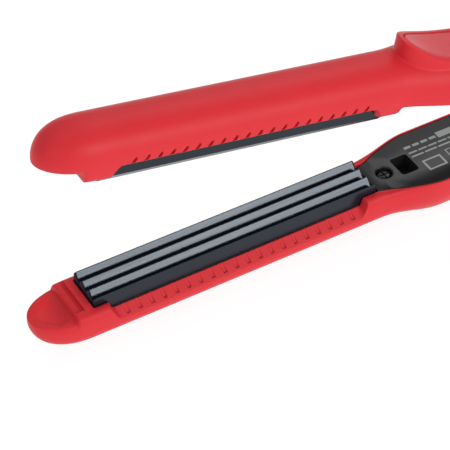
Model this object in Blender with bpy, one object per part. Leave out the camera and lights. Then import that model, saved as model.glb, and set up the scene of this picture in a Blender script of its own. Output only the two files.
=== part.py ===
"""Hair crimper: two hinged arms with corrugated plates, built as separate named pieces.

Lengths below are in millimetres. X runs from the nose (-) to the cord end (+), Z is up.
The work frame has X = 0 at the nose end of the plates, Y = 0 on the centreline and Z = 0 at
the crests of the lower plate. Each arm is described by its depth, the distance outwards from
the crests of its own plate. The row frame has its origin on the resting face, under the handle.
"""

import math

import bmesh
import bpy
from mathutils import Matrix, Vector

MM = 0.001
GAP = 0.3

# Plates
PLATE_LENGTH = 90.0
PLATE_HALF = 6.0
GROOVE_PITCH = 4.0
GROOVE_DEPTH = 2.6
PLATE_DEPTH = 5.2
CHANNEL_DEPTH = 3.8
NOSE_CHAMFER = 0.7
HINGE_CHAMFER = 1.3
CLOSED_GAP = 0.4
UPPER_CREST = CLOSED_GAP - GROOVE_DEPTH

# Hinge and resting face
HINGE_X = 217.6
HINGE_Z = UPPER_CREST / 2
OPEN_ANGLE = math.radians(10.87)
DRUM_RADIUS = 9.4
DRUM_HALF = 10.5
BACK_RADIUS = 12.4
BACK_END_X = 228.6
KNUCKLE_RADIUS = 7.2
SLOT_HALF = 7.3
LUG_INNER = 3.9
LUG_OUTER = 6.9
PIN_RADIUS = 2.0
REST_X = 152.5
REST_DEPTH = 17.0

# Shells
PLATE_WALL = 1.8
HANDLE_WALL = 2.4
NOSE_LENGTH = 16.0
NOSE_START = -1.0
HANDLE_START = 91.0
HANDLE_FULL = 111.0
COVER_START = 91.3
COVER_LIP = 1.3
COVER_END = 206.0
COVER_MARGIN = 0.7
COVER_THICKNESS = 2.0
RIM_LEAN = 1.1
RIM_SHOULDER = 2.0
TAB_START = -5.5
TAB_SLOPE = 1.3
TAB_BLEND = 2.0
HINGE_TAB = 4.2
CHAMFER_START = 6.4
CHAMFER_SLOPE = 0.9
MIDDLE_RIM = 5.5
NOTCH_COUNT = 20
NOTCH_PITCH = 3.8
LEDGE_DROP = 0.9
LOWER_SCREWS = (96.8, 196.0)
UPPER_SCREWS = (118.0, 196.0)

# Raised thumb rest on the upper arm
REST_CENTRE = 110.2
REST_HALF_LENGTH = 16.3
REST_HALF_WIDTH = 8.5
REST_ROUNDING = 2.12
REST_LOW_X = 115.1
REST_LOW_Z = 15.17
REST_BACK_Z = 16.5
REST_RISE = 0.014
REST_BORDER = 1.9
REST_POCKET = 1.7
REST_PANEL = 1.2
REST_UNDERSIDE = 11.0

# Pocket of the lower cover, in steps of start, end and drop, with its room in the shell, and the peg
POCKET_STEPS = ((100.4, 106.6, -1.0), (101.4, 106.5, 1.0), (102.3, 106.3, 2.6), (102.4, 106.3, 5.0))
POCKET_ROOM = ((99.9, 107.7), (-4.9, 4.9), (5.0, 9.6))
PEG_X = 104.3
PEG_Y = 2.0
PEG_LENGTH = 7.2

# Power switch, indicator and cord gland
SWITCH_X = 150.0
SWITCH_TRAVEL = 4.0
LAMP_X = 136.0
GLAND_DEPTH = 10.8
FLANGE_RADIUS = 5.1
NECK_RADIUS = 3.8
REAR_WALL_X = 230.0
REAR_END_X = 233.5

RED = (0.72, 0.035, 0.05)
DARK_GREY = (0.05, 0.05, 0.055)
PLATE_BLACK = (0.012, 0.018, 0.028)
BLACK = (0.02, 0.02, 0.022)
STEEL = (0.55, 0.55, 0.56)
ALUMINIUM = (0.7, 0.71, 0.72)
CERAMIC = (0.85, 0.83, 0.78)
MICA = (0.62, 0.52, 0.36)
WHITE = (0.8, 0.8, 0.78)
GREEN = (0.03, 0.2, 0.08)
LENS_RED = (0.6, 0.05, 0.03)


def clear_scene():
    for old in list(bpy.data.objects):
        bpy.data.objects.remove(old, do_unlink=True)


def material(name, colour, roughness, metallic=0.0):
    mat = bpy.data.materials.new(name)
    mat.use_nodes = True
    shader = mat.node_tree.nodes["Principled BSDF"]
    shader.inputs["Base Color"].default_value = (*colour, 1.0)
    shader.inputs["Roughness"].default_value = roughness
    shader.inputs["Metallic"].default_value = metallic
    return mat


def ease(value, start, end):
    """0 before start, 1 after end, with a smooth change between them."""
    share = min(max((value - start) / (end - start), 0.0), 1.0)
    return share * share * (3.0 - 2.0 * share)


def between(low, high, share):
    return low + (high - low) * share


def spaced(start, end, count):
    return [between(start, end, i / (count - 1)) for i in range(count)]


# ---------------------------------------------------------------- mesh helpers


def make_object(name, mesh_data, parent, mat=None):
    """Turn a bmesh in millimetres into a closed object in metres under its parent."""
    bmesh.ops.remove_doubles(mesh_data, verts=mesh_data.verts, dist=0.001)
    bmesh.ops.connect_verts_nonplanar(mesh_data, angle_limit=math.radians(0.05), faces=mesh_data.faces)
    bmesh.ops.scale(mesh_data, vec=(MM, MM, MM), verts=mesh_data.verts)
    bmesh.ops.recalc_face_normals(mesh_data, faces=mesh_data.faces)
    mesh = bpy.data.meshes.new(name)
    mesh_data.to_mesh(mesh)
    mesh_data.free()
    obj = bpy.data.objects.new(name, mesh)
    bpy.context.scene.collection.objects.link(obj)
    obj.parent = parent
    if mat:
        mesh.materials.append(mat)
        mesh.shade_smooth()
        mesh.set_sharp_from_angle(angle=math.radians(35))
    return obj


def loft(name, rings, parent, mat=None):
    """Skin a list of rings, each the same number of points, and cap both ends."""
    bm = bmesh.new()
    loops = [[bm.verts.new(Vector(point)) for point in ring] for ring in rings]
    for first, second in zip(loops, loops[1:]):
        for i in range(len(first)):
            j = (i + 1) % len(first)
            bm.faces.new((first[i], first[j], second[j], second[i]))
    bm.faces.new(loops[0])
    bm.faces.new(loops[-1])
    return make_object(name, bm, parent, mat)


def block(name, x_span, y_span, z_span, parent, mat=None):
    (x_low, x_high), (y_low, y_high) = x_span, y_span
    corners = [(x_low, y_low), (x_high, y_low), (x_high, y_high), (x_low, y_high)]
    return loft(name, [[(x, y, z) for x, y in corners] for z in z_span], parent, mat)


def rod(name, start, end, radius, parent, mat=None, sides=20):
    """A round bar between two points."""
    bm = bmesh.new()
    axis = Vector(end) - Vector(start)
    turn = Vector((0, 0, 1)).rotation_difference(axis)
    place = Matrix.LocRotScale((Vector(start) + Vector(end)) / 2, turn, None)
    bmesh.ops.create_cone(
        bm, cap_ends=True, segments=sides, radius1=radius, radius2=radius, depth=axis.length, matrix=place
    )
    return make_object(name, bm, parent, mat)


def turned(name, profile, centre, axis, parent, mat, sides=20):
    """Spin a profile of (distance along axis, radius) steps into a closed round piece."""
    bm = bmesh.new()
    along = Vector(axis)
    side = along.orthogonal().normalized()
    points = [Vector(centre) + along * d + side * r for d, r in profile]
    verts = [bm.verts.new(p) for p in points]
    edges = [bm.edges.new(pair) for pair in zip(verts, verts[1:])]
    bmesh.ops.spin(
        bm, geom=verts + edges, cent=Vector(centre), axis=along, angle=math.tau, steps=sides, use_merge=True
    )
    return make_object(name, bm, parent, mat)


def wire(name, points, radius, parent, mat, sides=1):
    """A bent round wire with closed ends, along points in millimetres."""
    curve = bpy.data.curves.new(name, "CURVE")
    curve.dimensions = "3D"
    curve.bevel_depth = radius * MM
    curve.bevel_resolution = sides
    curve.use_fill_caps = True
    spline = curve.splines.new("POLY")
    spline.points.add(len(points) - 1)
    for slot, point in zip(spline.points, points):
        slot.co = (*(Vector(point) * MM), 1.0)
    curve.materials.append(mat)
    obj = bpy.data.objects.new(name, curve)
    bpy.context.scene.collection.objects.link(obj)
    obj.parent = parent
    return obj


def smooth_path(corners, steps=4):
    """Points on a Catmull-Rom curve through a few chosen corners."""
    ends = [Vector(c) for c in [corners[0], *corners, corners[-1]]]
    path = []
    for a, b, c, d in zip(ends, ends[1:], ends[2:], ends[3:]):
        for i in range(steps):
            t = i / steps
            path.append(0.5 * (2 * b + (c - a) * t + (2 * a - 5 * b + 4 * c - d) * t**2
                               + (3 * b - a - 3 * c + d) * t**3))
    return [*path, ends[-1]]


def combine(target, tool, operation):
    """Keep a live exact Boolean on the target and mark the tool as a guide."""
    step = target.modifiers.new(tool.name, "BOOLEAN")
    step.operation = operation
    step.solver = "EXACT"
    step.object = tool
    tool.hide_render = True
    tool.display_type = "WIRE"


def cut(target, *tools):
    for tool in tools:
        combine(target, tool, "DIFFERENCE")


def add(target, *tools):
    for tool in tools:
        combine(target, tool, "UNION")


# ---------------------------------------------------------------- arm outline


class Arm:
    """One arm's outline. Depth is measured outwards from the crests of its own plate."""

    def __init__(self, name, frame, crest, outwards, nose_rim, tab_rim, handle_rim, plate_depth,
                 handle_depth, tail_depth, floor):
        self.name = name
        self.frame = frame
        self.crest = crest
        self.outwards = outwards
        self.nose_rim = nose_rim
        self.tab_rim = tab_rim
        self.handle_rim = handle_rim
        self.plate_depth = plate_depth
        self.handle_depth = handle_depth
        self.tail_depth = tail_depth
        self.floor = floor

    def z(self, depth):
        return self.crest + self.outwards * depth

    def handle_share(self, x):
        return ease(x, HANDLE_START, HANDLE_FULL)

    def nose_share(self, x):
        """1 along the arm, falling in a round curve to almost 0 at the nose tip."""
        reach = min(max((NOSE_START - x) / NOSE_LENGTH, 0.0), 0.995)
        return math.sqrt(1.0 - reach**2.4)

    def wall(self, x):
        return between(PLATE_WALL, HANDLE_WALL, self.handle_share(x))

    def tail_share(self, x):
        return ease(x, 182.0, 226.0)

    def widest(self, x):
        width = between(9.2, 12.2, self.handle_share(x))
        width = between(width, 10.4 if self.outwards > 0 else 9.6, self.tail_share(x))
        return width * self.nose_share(x)

    def seat_half(self, x):
        """Half the width that the inner cover's seat follows."""
        flare = between(1.3, 0.2, self.handle_share(x))
        return self.widest(x) - flare * self.nose_share(x)

    def rim_half(self, x):
        """Half the width at the rim, where the sides lean in beside the plate."""
        beside_plate = ease(x, TAB_START - 0.8, TAB_START) * (1.0 - ease(x, 90.5, 93.5))
        return self.seat_half(x) - RIM_LEAN * beside_plate

    def rim(self, x):
        nose = between(self.nose_rim, self.tab_rim, ease(x, TAB_START - 0.8, TAB_START))
        return between(nose, self.handle_rim, ease(x, 91.3, 93.0))

    def widest_depth(self, x):
        along = between(8.9, self.handle_rim + 2.8, self.handle_share(x))
        return between(self.nose_rim + 0.9, along, self.nose_share(x))

    def base(self, x):
        along = between(self.plate_depth, self.handle_depth, self.handle_share(x))
        along = between(along, self.tail_depth, ease(x, 165.0, 212.0))
        if self.outwards > 0 and x > HINGE_X:
            round_end = math.sqrt(BACK_RADIUS**2 - (x - HINGE_X) ** 2)
            along = round_end + HINGE_Z - self.crest
        return between(self.widest_depth(x) + 0.6, along, self.nose_share(x))

    def section(self, x, inset=0.0, top=None):
        """The ring of points at x, from the near rim round the outside to the far rim."""
        rim = self.rim(x) if top is None else top
        wide_depth = max(self.widest_depth(x), rim + 0.5)
        half = self.widest(x) - inset
        base = self.base(x) - inset
        side = []
        for share in (0.0, 0.07, 0.2, 0.45):
            depth = between(rim, wide_depth, share)
            rounded = 1.0 - min((depth - rim) / RIM_SHOULDER, 1.0)
            swell = 0.8 * math.sqrt(1.0 - rounded**2) + 0.2 * (1.0 - (1.0 - share) ** 2)
            side.append((between(self.rim_half(x) - inset, half, swell), depth))
        for i in range(7):
            angle = i * math.pi / 12
            depth = wide_depth + (base - wide_depth) * math.sin(angle) ** 0.9
            side.append((half * math.cos(angle) ** 0.9 if i < 6 else 0.0, min(depth, self.floor - inset)))
        ring = [(x, -w, self.z(d)) for w, d in side]
        ring += [(x, w, self.z(d)) for w, d in reversed(side[:-1])]
        return ring

    def stations(self, start, end):
        nose = [NOSE_START - NOSE_LENGTH * math.sin(a * math.pi / 16) for a in range(8, 0, -1)]
        along = [-6.3, -6.0, -5.8, -5.5, 0.0, 45.0, 90.5, 91.3, 92.1, 93.0, 93.5, 96.0, 99.0, 102.0, 105.0,
                 108.0, 111.0]
        along += spaced(130.0, 182.0, 4) + spaced(188.0, 212.0, 4) + spaced(217.6, 226.0, 4) + [start, end]
        return sorted({round(x, 2) for x in nose + along if start <= x <= end})

    def cover_half(self, x):
        """Half the width of the inner cover, whose front end is cut square."""
        return self.seat_half(x) - COVER_MARGIN - between(1.1, 0.0, ease(x, 92.6, 99.0))


def cover_outline(arm, margin, start, end):
    xs = [start, *[x for x in arm.stations(COVER_START + COVER_LIP, COVER_END - 1.0)], end]
    near = [(x, -(arm.cover_half(x) + margin)) for x in xs]
    return near + [(x, -y) for x, y in reversed(near)]


def prism(name, outline, z_low, z_high, parent, mat=None):
    return loft(name, [[(x, y, z) for x, y in outline] for z in (z_low, z_high)], parent, mat)


# ---------------------------------------------------------------- shells


def middle_cutter(arm, comb):
    """Lowers the rim between the two end tabs and chamfers it outwards, more softly further out."""
    far_end = PLATE_LENGTH - HINGE_TAB
    reach = 12.0
    above = arm.z(-2.0)
    tab_end = comb.tab_end
    near = spaced(tab_end - TAB_BLEND, tab_end + TAB_SLOPE + TAB_BLEND, 8)
    rings = []
    for x in [*near, *[tab_end + far_end - x for x in reversed(near)]]:
        along = min(x, tab_end + far_end - x)
        side = []
        for y, spread in ((CHAMFER_START, 0.0), (CHAMFER_START + 1.2, 0.5), (reach, 1.0)):
            soft = TAB_BLEND * spread
            share = ease(along, tab_end - soft, tab_end + TAB_SLOPE + soft)
            low = MIDDLE_RIM + (y - CHAMFER_START) * CHAMFER_SLOPE
            side.append((y, arm.z(between(arm.tab_rim - 0.2, low, share))))
        rings.append([(x, -reach, above), *[(x, -y, z) for y, z in reversed(side)],
                      *[(x, y, z) for y, z in side], (x, reach, above)])
    return loft(arm.name + "_cut_middle", rings, arm.frame)


class Comb:
    """The shape of one arm's comb slots: wide at the mouth, and leaning towards the hinge."""

    def __init__(self, tab_end, middle, half, mouth, y_span, depths, lean):
        self.tab_end = tab_end
        self.middle = middle
        self.half = half
        self.mouth = mouth
        self.y_span = y_span
        self.depths = depths
        self.lean = lean


SHALLOW_COMB = Comb(3.9, 44.8, 0.55, (-0.7, 0.7), (6.4, 8.5), (0.12, 0.6), 0.1)
DEEP_COMB = Comb(1.5, 42.7, 0.45, (-2.3, 0.3), (5.9, 9.9), (2.1, 1.7), 0.35)


def notch_cutter(arm, comb, side, index):
    """One slanted comb slot in the chamfered edge of the shell."""
    x = comb.middle + (index - (NOTCH_COUNT - 1) / 2) * NOTCH_PITCH
    rings = []
    for y, below in zip(comb.y_span, comb.depths):
        depth = MIDDLE_RIM + (y - CHAMFER_START) * CHAMFER_SLOPE + below
        root = x + comb.lean * (depth - MIDDLE_RIM)
        mouth = MIDDLE_RIM - 0.4
        ring = ((x + comb.mouth[0], mouth), (x + comb.mouth[1], mouth), (root + comb.half, depth),
                (root - comb.half, depth))
        rings.append([(px, side * y, arm.z(d)) for px, d in ring])
    return loft(f"{arm.name}_cut_notch_{index}_{'near' if side < 0 else 'far'}", rings, arm.frame)


def hollow_shell(arm, mat, end_x, cavity_end, comb):
    """Outer form of an arm with its cavity, plate well, cover seat and comb slots cut out."""
    frame = arm.frame
    shell = loft(arm.name + "_shell", [arm.section(x) for x in arm.stations(-16.9, end_x)], frame, mat)
    seat = arm.handle_rim + COVER_THICKNESS + GAP
    cavity_x = arm.stations(2.0, cavity_end)
    cavity = [arm.section(x, arm.wall(x), max(arm.rim(x), seat) + 1.8 * (1 - arm.handle_share(x)))
              for x in cavity_x]
    cut(shell, loft(arm.name + "_cut_cavity", cavity, frame))
    well = PLATE_HALF + GAP
    cut(shell, block(arm.name + "_cut_well", (-GAP, PLATE_LENGTH + 4.6), (-well, well),
                     (arm.z(-2.0), arm.z(12.0)), frame))
    seat_outline = cover_outline(arm, GAP, COVER_START - GAP, COVER_END + GAP)
    cut(shell, prism(arm.name + "_cut_seat", seat_outline, arm.z(-2.0), arm.z(seat), frame))
    cut(shell, middle_cutter(arm, comb))
    for side in (-1, 1):
        for index in range(NOTCH_COUNT):
            cut(shell, notch_cutter(arm, comb, side, index))
    return shell


def screw_posts(arm, shell, places):
    """Posts on the shell's floor that the cover screws bite into."""
    top = arm.handle_rim + COVER_THICKNESS + 2 * GAP
    for number, x in enumerate(places, 1):
        floor = min(arm.base(x), arm.floor) - arm.wall(x) / 2
        if abs(x - REST_CENTRE) < REST_HALF_LENGTH and arm.outwards > 0:
            floor = REST_UNDERSIDE - arm.crest + 1.0
        add(shell, rod(f"{arm.name}_post_{number}", (x, 0, arm.z(top)), (x, 0, arm.z(floor)), 3.0, arm.frame))
        cut(shell, rod(f"{arm.name}_cut_pilot_{number}", (x, 0, arm.z(top - 1.0)), (x, 0, arm.z(top + 6.0)),
                       1.5, arm.frame, sides=12))


def nose_detail(arm, shell):
    """The dished finger face, the ledge and the cross groove on the inside of the nose."""
    dish = []
    for share, drop in ((1.06, -0.3), (1.0, 0.0), (0.9, 0.3), (0.74, 0.76), (0.5, 1.08), (0.2, 1.25)):
        ring = []
        for step in range(24):
            angle = step * math.tau / 24
            along = math.copysign(abs(math.cos(angle)) ** 0.8, math.cos(angle))
            x = -10.3 + 4.9 * share * along
            half = min(6.6, max(arm.seat_half(x) - 0.9, 1.0))
            ring.append((x, half * share * math.sin(angle), arm.z(arm.nose_rim + drop)))
        dish.append(ring)
    cut(shell, loft(arm.name + "_cut_dish", dish, arm.frame))
    cut(shell, block(arm.name + "_cut_nose_groove", (-3.5, -2.7), (-5.6, 9.5),
                     (arm.z(-1.0), arm.z(arm.tab_rim + 1.0)), arm.frame))
    cut(shell, block(arm.name + "_cut_nose_ledge", (-5.4, -3.4), (-5.6, 9.5),
                     (arm.z(-1.0), arm.z(arm.tab_rim + LEDGE_DROP)), arm.frame))


def lower_shell(arm, mat):
    shell = hollow_shell(arm, mat, REAR_END_X, 222.0, SHALLOW_COMB)
    frame = arm.frame
    cut(shell, block("lower_cut_pocket_room", POCKET_ROOM[0], POCKET_ROOM[1],
                     (arm.z(POCKET_ROOM[2][0]), arm.z(POCKET_ROOM[2][1])), frame))
    axis = (HINGE_X, HINGE_Z)
    cut(shell, rod("lower_cut_drum", (axis[0], -16, axis[1]), (axis[0], 16, axis[1]), DRUM_RADIUS + 0.5,
                   frame, sides=32))
    for side in (-1, 1):
        tag = "near" if side < 0 else "far"
        rings = []
        for y, foot in ((LUG_INNER, 15.8), (LUG_OUTER, 13.4)):
            rings.append([(x, side * y, z) for x, z in knuckle_outline(axis, KNUCKLE_RADIUS, arm.z(foot))])
        add(shell, loft(f"lower_lug_{tag}", rings, frame))
    cut(shell, rod("lower_cut_pin", (axis[0], -9, axis[1]), (axis[0], 9, axis[1]), PIN_RADIUS + GAP, frame))
    level = arm.z(GLAND_DEPTH)
    room = FLANGE_RADIUS + 0.4
    bore = NECK_RADIUS + 0.4
    cut(shell, rod("lower_cut_gland_room", (221.0, 0, level), (REAR_WALL_X, 0, level), room, frame, sides=24))
    cut(shell, rod("lower_cut_gland_bore", (225.0, 0, level), (240.0, 0, level), bore, frame, sides=24))
    screw_posts(arm, shell, LOWER_SCREWS)
    nose_detail(arm, shell)
    return shell


def knuckle_outline(axis, radius, low):
    """A round-topped lug seen from the side, standing on the floor of the lower shell."""
    arc = [(axis[0] + radius * math.cos(a * math.pi / 12), axis[1] + radius * math.sin(a * math.pi / 12))
           for a in range(13)]
    return [(axis[0] + radius, low), *arc, (axis[0] - radius, low)]


def upper_shell(arm, mat):
    shell = hollow_shell(arm, mat, BACK_END_X, 206.5, DEEP_COMB)
    frame = arm.frame
    axis = (HINGE_X, HINGE_Z)
    add(shell, rod("upper_drum", (axis[0], -DRUM_HALF, axis[1]), (axis[0], DRUM_HALF, axis[1]), DRUM_RADIUS,
                   frame, sides=32))
    add(shell, island("upper_island", 0.0, 8.0, 0.0, frame))
    cut(shell, island("upper_cut_island", REST_BORDER, -REST_POCKET, 6.0, frame))
    cut(shell, rod("upper_cut_slot", (axis[0], -SLOT_HALF, axis[1]), (axis[0], SLOT_HALF, axis[1]),
                   KNUCKLE_RADIUS + 0.6, frame, sides=32))
    cut(shell, block("upper_cut_slot_low", (axis[0] - 7.8, axis[0] + 12.0), (-SLOT_HALF, SLOT_HALF),
                     (axis[1] - 14.0, axis[1]), frame))
    cut(shell, rod("upper_cut_pin", (axis[0], -12, axis[1]), (axis[0], 12, axis[1]), PIN_RADIUS + GAP, frame))
    for side in (-1, 1):
        cut(shell, rod(f"upper_cut_cap_{side}", (axis[0], side * 8.9, axis[1]), (axis[0], side * 12, axis[1]),
                       3.6, frame))
    top = arm.z(arm.handle_depth)
    window = (SWITCH_X - 6.0, SWITCH_X + 6.0 + SWITCH_TRAVEL)
    cut(shell, block("upper_cut_switch", window, (-2.3, 2.3), (top - 4, top + 4), frame))
    cut(shell, rod("upper_cut_lamp", (LAMP_X, 0, top - 4), (LAMP_X, 0, top + 4), 2.0, frame, sides=16))
    screw_posts(arm, shell, UPPER_SCREWS)
    nose_detail(arm, shell)
    return shell


def island_top(x):
    """Height of the scooped thumb rest: high at the front, low in the middle, flush behind."""
    if x < REST_LOW_X:
        return REST_LOW_Z + REST_RISE * (x - REST_LOW_X) ** 2
    return between(REST_LOW_Z, REST_BACK_Z, ease(x, REST_LOW_X, REST_CENTRE + REST_HALF_LENGTH))


def island(name, inset, below, above, frame, mat=None):
    """The thumb rest's oval outline as a solid, from below its top face to above it."""
    length = REST_HALF_LENGTH - inset
    rings = []
    for i in range(1, 16):
        share = -math.cos(i * math.pi / 16)
        x = REST_CENTRE + length * share
        half = (REST_HALF_WIDTH - inset) * (1.0 - abs(share) ** REST_ROUNDING) ** (1.0 / REST_ROUNDING)
        top = island_top(x)
        low = top + below if below < 0 else REST_UNDERSIDE
        rings.append([(x, -half, low), (x, half, low), (x, half, top + above), (x, -half, top + above)])
    return loft(name, rings, frame, mat)


# ---------------------------------------------------------------- plates and heating


def corrugated_plate(arm, mat):
    """A plate with V-shaped grooves along it, chamfered ends and a channel for the heater below."""
    lower = arm.outwards < 0
    points = []
    steps = int(2 * PLATE_HALF / (GROOVE_PITCH / 2))
    for i in range(steps + 1):
        y = -PLATE_HALF + i * GROOVE_PITCH / 2
        valley = (i % 2 == 1) == lower
        points.append((y, GROOVE_DEPTH if valley else 0.0))
    rings = []
    for x, drop in ((0.0, NOSE_CHAMFER), (NOSE_CHAMFER, 0.0), (PLATE_LENGTH - HINGE_CHAMFER, 0.0),
                    (PLATE_LENGTH, HINGE_CHAMFER)):
        ring = [(x, y, arm.z(depth + drop)) for y, depth in points]
        ring += [(x, PLATE_HALF, arm.z(PLATE_DEPTH)), (x, -PLATE_HALF, arm.z(PLATE_DEPTH))]
        rings.append(ring)
    plate = loft(arm.name + "_crimp_plate", rings, arm.frame, mat)
    depths = sorted(arm.z(d) for d in (CHANNEL_DEPTH, PLATE_DEPTH + 1.0))
    channel = PLATE_HALF - 1.2
    cut(plate, block(arm.name + "_cut_channel", (1.4, PLATE_LENGTH - 1.4), (-channel, channel), depths,
                     arm.frame))
    return plate


def rectangle(x_span, half, z):
    return [(x_span[0], -half, z), (x_span[1], -half, z), (x_span[1], half, z), (x_span[0], half, z)]


def plate_carrier(arm, mat):
    """A heat-proof tray under the plate that holds the heating stack."""
    top = arm.z(PLATE_DEPTH + GAP)
    rings = [
        rectangle((0.0, PLATE_LENGTH), PLATE_HALF, arm.z(10.2)),
        rectangle((0.0, PLATE_LENGTH), PLATE_HALF, top),
        rectangle((1.4, PLATE_LENGTH - 1.4), PLATE_HALF - 1.2, top),
        rectangle((1.4, PLATE_LENGTH - 1.4), PLATE_HALF - 1.2, arm.z(9.2)),
    ]
    return loft(arm.name + "_plate_carrier", rings, arm.frame, mat)


def slab(arm, name, x_span, half, depth_span, mat):
    depths = sorted(arm.z(d) for d in depth_span)
    return block(f"{arm.name}_{name}", x_span, (-half, half), depths, arm.frame, mat)


def heating_stack(arm, finishes):
    """Plate, ceramic heater, clamp and mica sheet, one on another inside the carrier."""
    corrugated_plate(arm, finishes["plate"])
    plate_carrier(arm, finishes["black"])
    slab(arm, "heater", (8.0, 82.0), 4.2, (4.1, 6.1), finishes["ceramic"])
    slab(arm, "heater_clamp", (6.0, 84.0), 4.2, (6.4, 7.4), finishes["aluminium"])
    slab(arm, "insulation_sheet", (4.0, 86.0), 4.4, (7.7, 8.2), finishes["mica"])


def heater_leads(arm, finishes, end_x, depth):
    """Two insulated leads from the carrier's hinge end to their terminals."""
    for tag, side in (("live", -1), ("neutral", 1)):
        corners = [(91.0, side * 2.2, arm.z(9.2)), (93.6, side * 3.6, arm.z(10.4)),
                   (97.0, side * 4.8, arm.z(depth)), (108.0, side * 5.2, arm.z(depth)),
                   (end_x, side * 4.0, arm.z(depth))]
        wire(f"{arm.name}_heater_lead_{tag}", smooth_path(corners, 3), 0.7, arm.frame, finishes["white"])


# ---------------------------------------------------------------- covers and screws


def inner_cover(arm, mat):
    """The flat cover, whose front edge slopes down to a thin lip."""
    rings = []
    for drop, start in ((0.0, COVER_START + COVER_LIP), (1.5, COVER_START), (COVER_THICKNESS, COVER_START)):
        outline = cover_outline(arm, 0.0, start, COVER_END)
        rings.append([(x, y, arm.z(arm.handle_rim + drop)) for x, y in outline])
    return loft(arm.name + "_inner_cover", rings, arm.frame, mat)


def screw_hole(arm, cover, number, x):
    inside = arm.z(arm.handle_rim + 4.0)
    cut(cover, rod(f"{arm.name}_cut_screw_{number}", (x, 0, arm.z(arm.handle_rim - 2.0)), (x, 0, inside),
                   2.5, arm.frame, sides=20))


def cover_screw(arm, number, x, mat):
    """A pan-head screw sunk in its hole, with its shank in the post below."""
    head = arm.handle_rim + 0.7
    profile = [(head, 0.0), (head, 1.6), (head + 0.4, 2.1), (head + 1.1, 2.1), (head + 1.1, 1.2),
               (head + 6.0, 1.2), (head + 6.4, 0.8), (head + 6.4, 0.0)]
    turned(f"{arm.name}_cover_screw_{number}", profile, (x, 0, arm.crest), (0, 0, arm.outwards), arm.frame,
           mat, 16)


def lower_cover(arm, finishes):
    cover = inner_cover(arm, finishes["cover"])
    for number, x in enumerate(LOWER_SCREWS, 1):
        screw_hole(arm, cover, number, x)
        cover_screw(arm, number, x, finishes["steel"])
    face = arm.handle_rim
    add(cover, block("lower_pocket_box", (100.2, 107.4), (-4.6, 4.6), (arm.z(face + 1.5), arm.z(face + 5.8)),
                     arm.frame))
    rings = [rectangle((low, high), 3.8, arm.z(face + drop)) for low, high, drop in POCKET_STEPS]
    cut(cover, loft("lower_cut_pocket", rings, arm.frame))


def upper_cover(arm, finishes):
    cover = inner_cover(arm, finishes["cover"])
    for number, x in enumerate(UPPER_SCREWS, 1):
        screw_hole(arm, cover, number, x)
        cover_screw(arm, number, x, finishes["steel"])
    face = arm.z(arm.handle_rim) - GAP
    tip = arm.z(arm.handle_rim) - PEG_LENGTH
    rings = []
    for a, b, z in ((1.0, 0.9, tip), (1.4, 1.3, tip + 1.4), (1.6, 1.4, face)):
        rings.append([(x, y + PEG_Y, z) for x, y, z in rectangle((PEG_X - a, PEG_X + a), b, z)])
    loft("alignment_peg", rings, arm.frame, finishes["cover"])


# ---------------------------------------------------------------- inside the handles


def lower_handle_parts(arm, finishes):
    """Thermostat, thermal fuse, terminals and the cord clamp on the floor of the lower handle."""
    floor = arm.floor - HANDLE_WALL - GAP
    rod("thermostat", (117.0, 0, arm.z(9.0)), (117.0, 0, arm.z(12.6)), 3.4, arm.frame,
        finishes["steel"], 20)
    rod("thermal_fuse", (123.0, 0, arm.z(11.0)), (132.0, 0, arm.z(11.0)), 1.6, arm.frame,
        finishes["white"], 12)
    block("terminal_block", (138.0, 154.0), (-4.8, 4.8), sorted((arm.z(8.6), arm.z(floor))), arm.frame,
          finishes["white"])
    rings = [[(x, -y, arm.z(d)) for y, d in clamp_outline(floor)] for x in (170.0, 178.0)]
    loft("cord_clamp", rings, arm.frame, finishes["black"])
    heater_leads(arm, finishes, 137.0, 11.6)


def clamp_outline(floor):
    """A bridge-shaped cord clamp seen along the handle, with a half-round channel."""
    arch = [(2.6 * math.cos(a * math.pi / 6), floor - 2.6 * math.sin(a * math.pi / 6)) for a in range(7)]
    return [(4.8, floor), (4.8, floor - 3.0), (3.6, floor - 4.6), (-3.6, floor - 4.6), (-4.8, floor - 3.0),
            (-4.8, floor), *reversed(arch)]


def upper_handle_parts(arm, finishes):
    """Control board, indicator and switch body in the upper handle, and the thumb rest panel."""
    board = arm.handle_rim + COVER_THICKNESS + 1.6
    slab(arm, "control_board", (132.0, 182.0), 7.5, (board, board + 1.2), finishes["green"])
    top = arm.handle_depth
    rod("indicator_led", (LAMP_X, 0, arm.z(board + 1.2 + GAP)), (LAMP_X, 0, arm.z(top - 4.4)), 1.4,
        arm.frame, finishes["white"], 12)
    lens = [(top - 3.9, 0.0), (top - 3.9, 1.7), (top + 0.1, 1.7), (top + 0.5, 1.2), (top + 0.6, 0.0)]
    turned("indicator_lens", lens, (LAMP_X, 0, arm.crest), (0, 0, 1), arm.frame, finishes["lens"], 16)
    slab(arm, "switch_body", (SWITCH_X - 8.0, SWITCH_X + 12.0), 4.6, (board + 1.2 + GAP, top - 5.2),
         finishes["black"])
    island("thumb_rest_panel", REST_BORDER + 1.5 * GAP, -REST_PANEL, 0.0, arm.frame, finishes["panel"])
    heater_leads(arm, finishes, 131.0, 11.0)


def switch_slider(arm, finishes):
    """The sliding button: a foot under the shell, a neck through the slot and a ridged pad."""
    top = arm.z(arm.handle_depth)
    slide = bpy.data.objects.new("switch_slide", None)
    slide.location = Vector((SWITCH_X, 0, top)) * MM
    slide.parent = arm.frame
    bpy.context.scene.collection.objects.link(slide)
    slider = block("switch_slider", (-4.0, 4.0), (-3.4, 3.4), (0.4, 1.5), slide, finishes["black"])
    add(slider, block("switch_neck", (-3.0, 3.0), (-1.9, 1.9), (-4.0, 1.0), slide))
    add(slider, block("switch_foot", (-4.5, 4.5), (-3.4, 3.4), (-4.8, -3.8), slide))
    for i in range(5):
        x = (i - 2) * 1.5
        add(slider, block(f"switch_rib_{i}", (x - 0.35, x + 0.35), (-3.0, 3.0), (1.2, 2.1), slide))
    return slider


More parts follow.
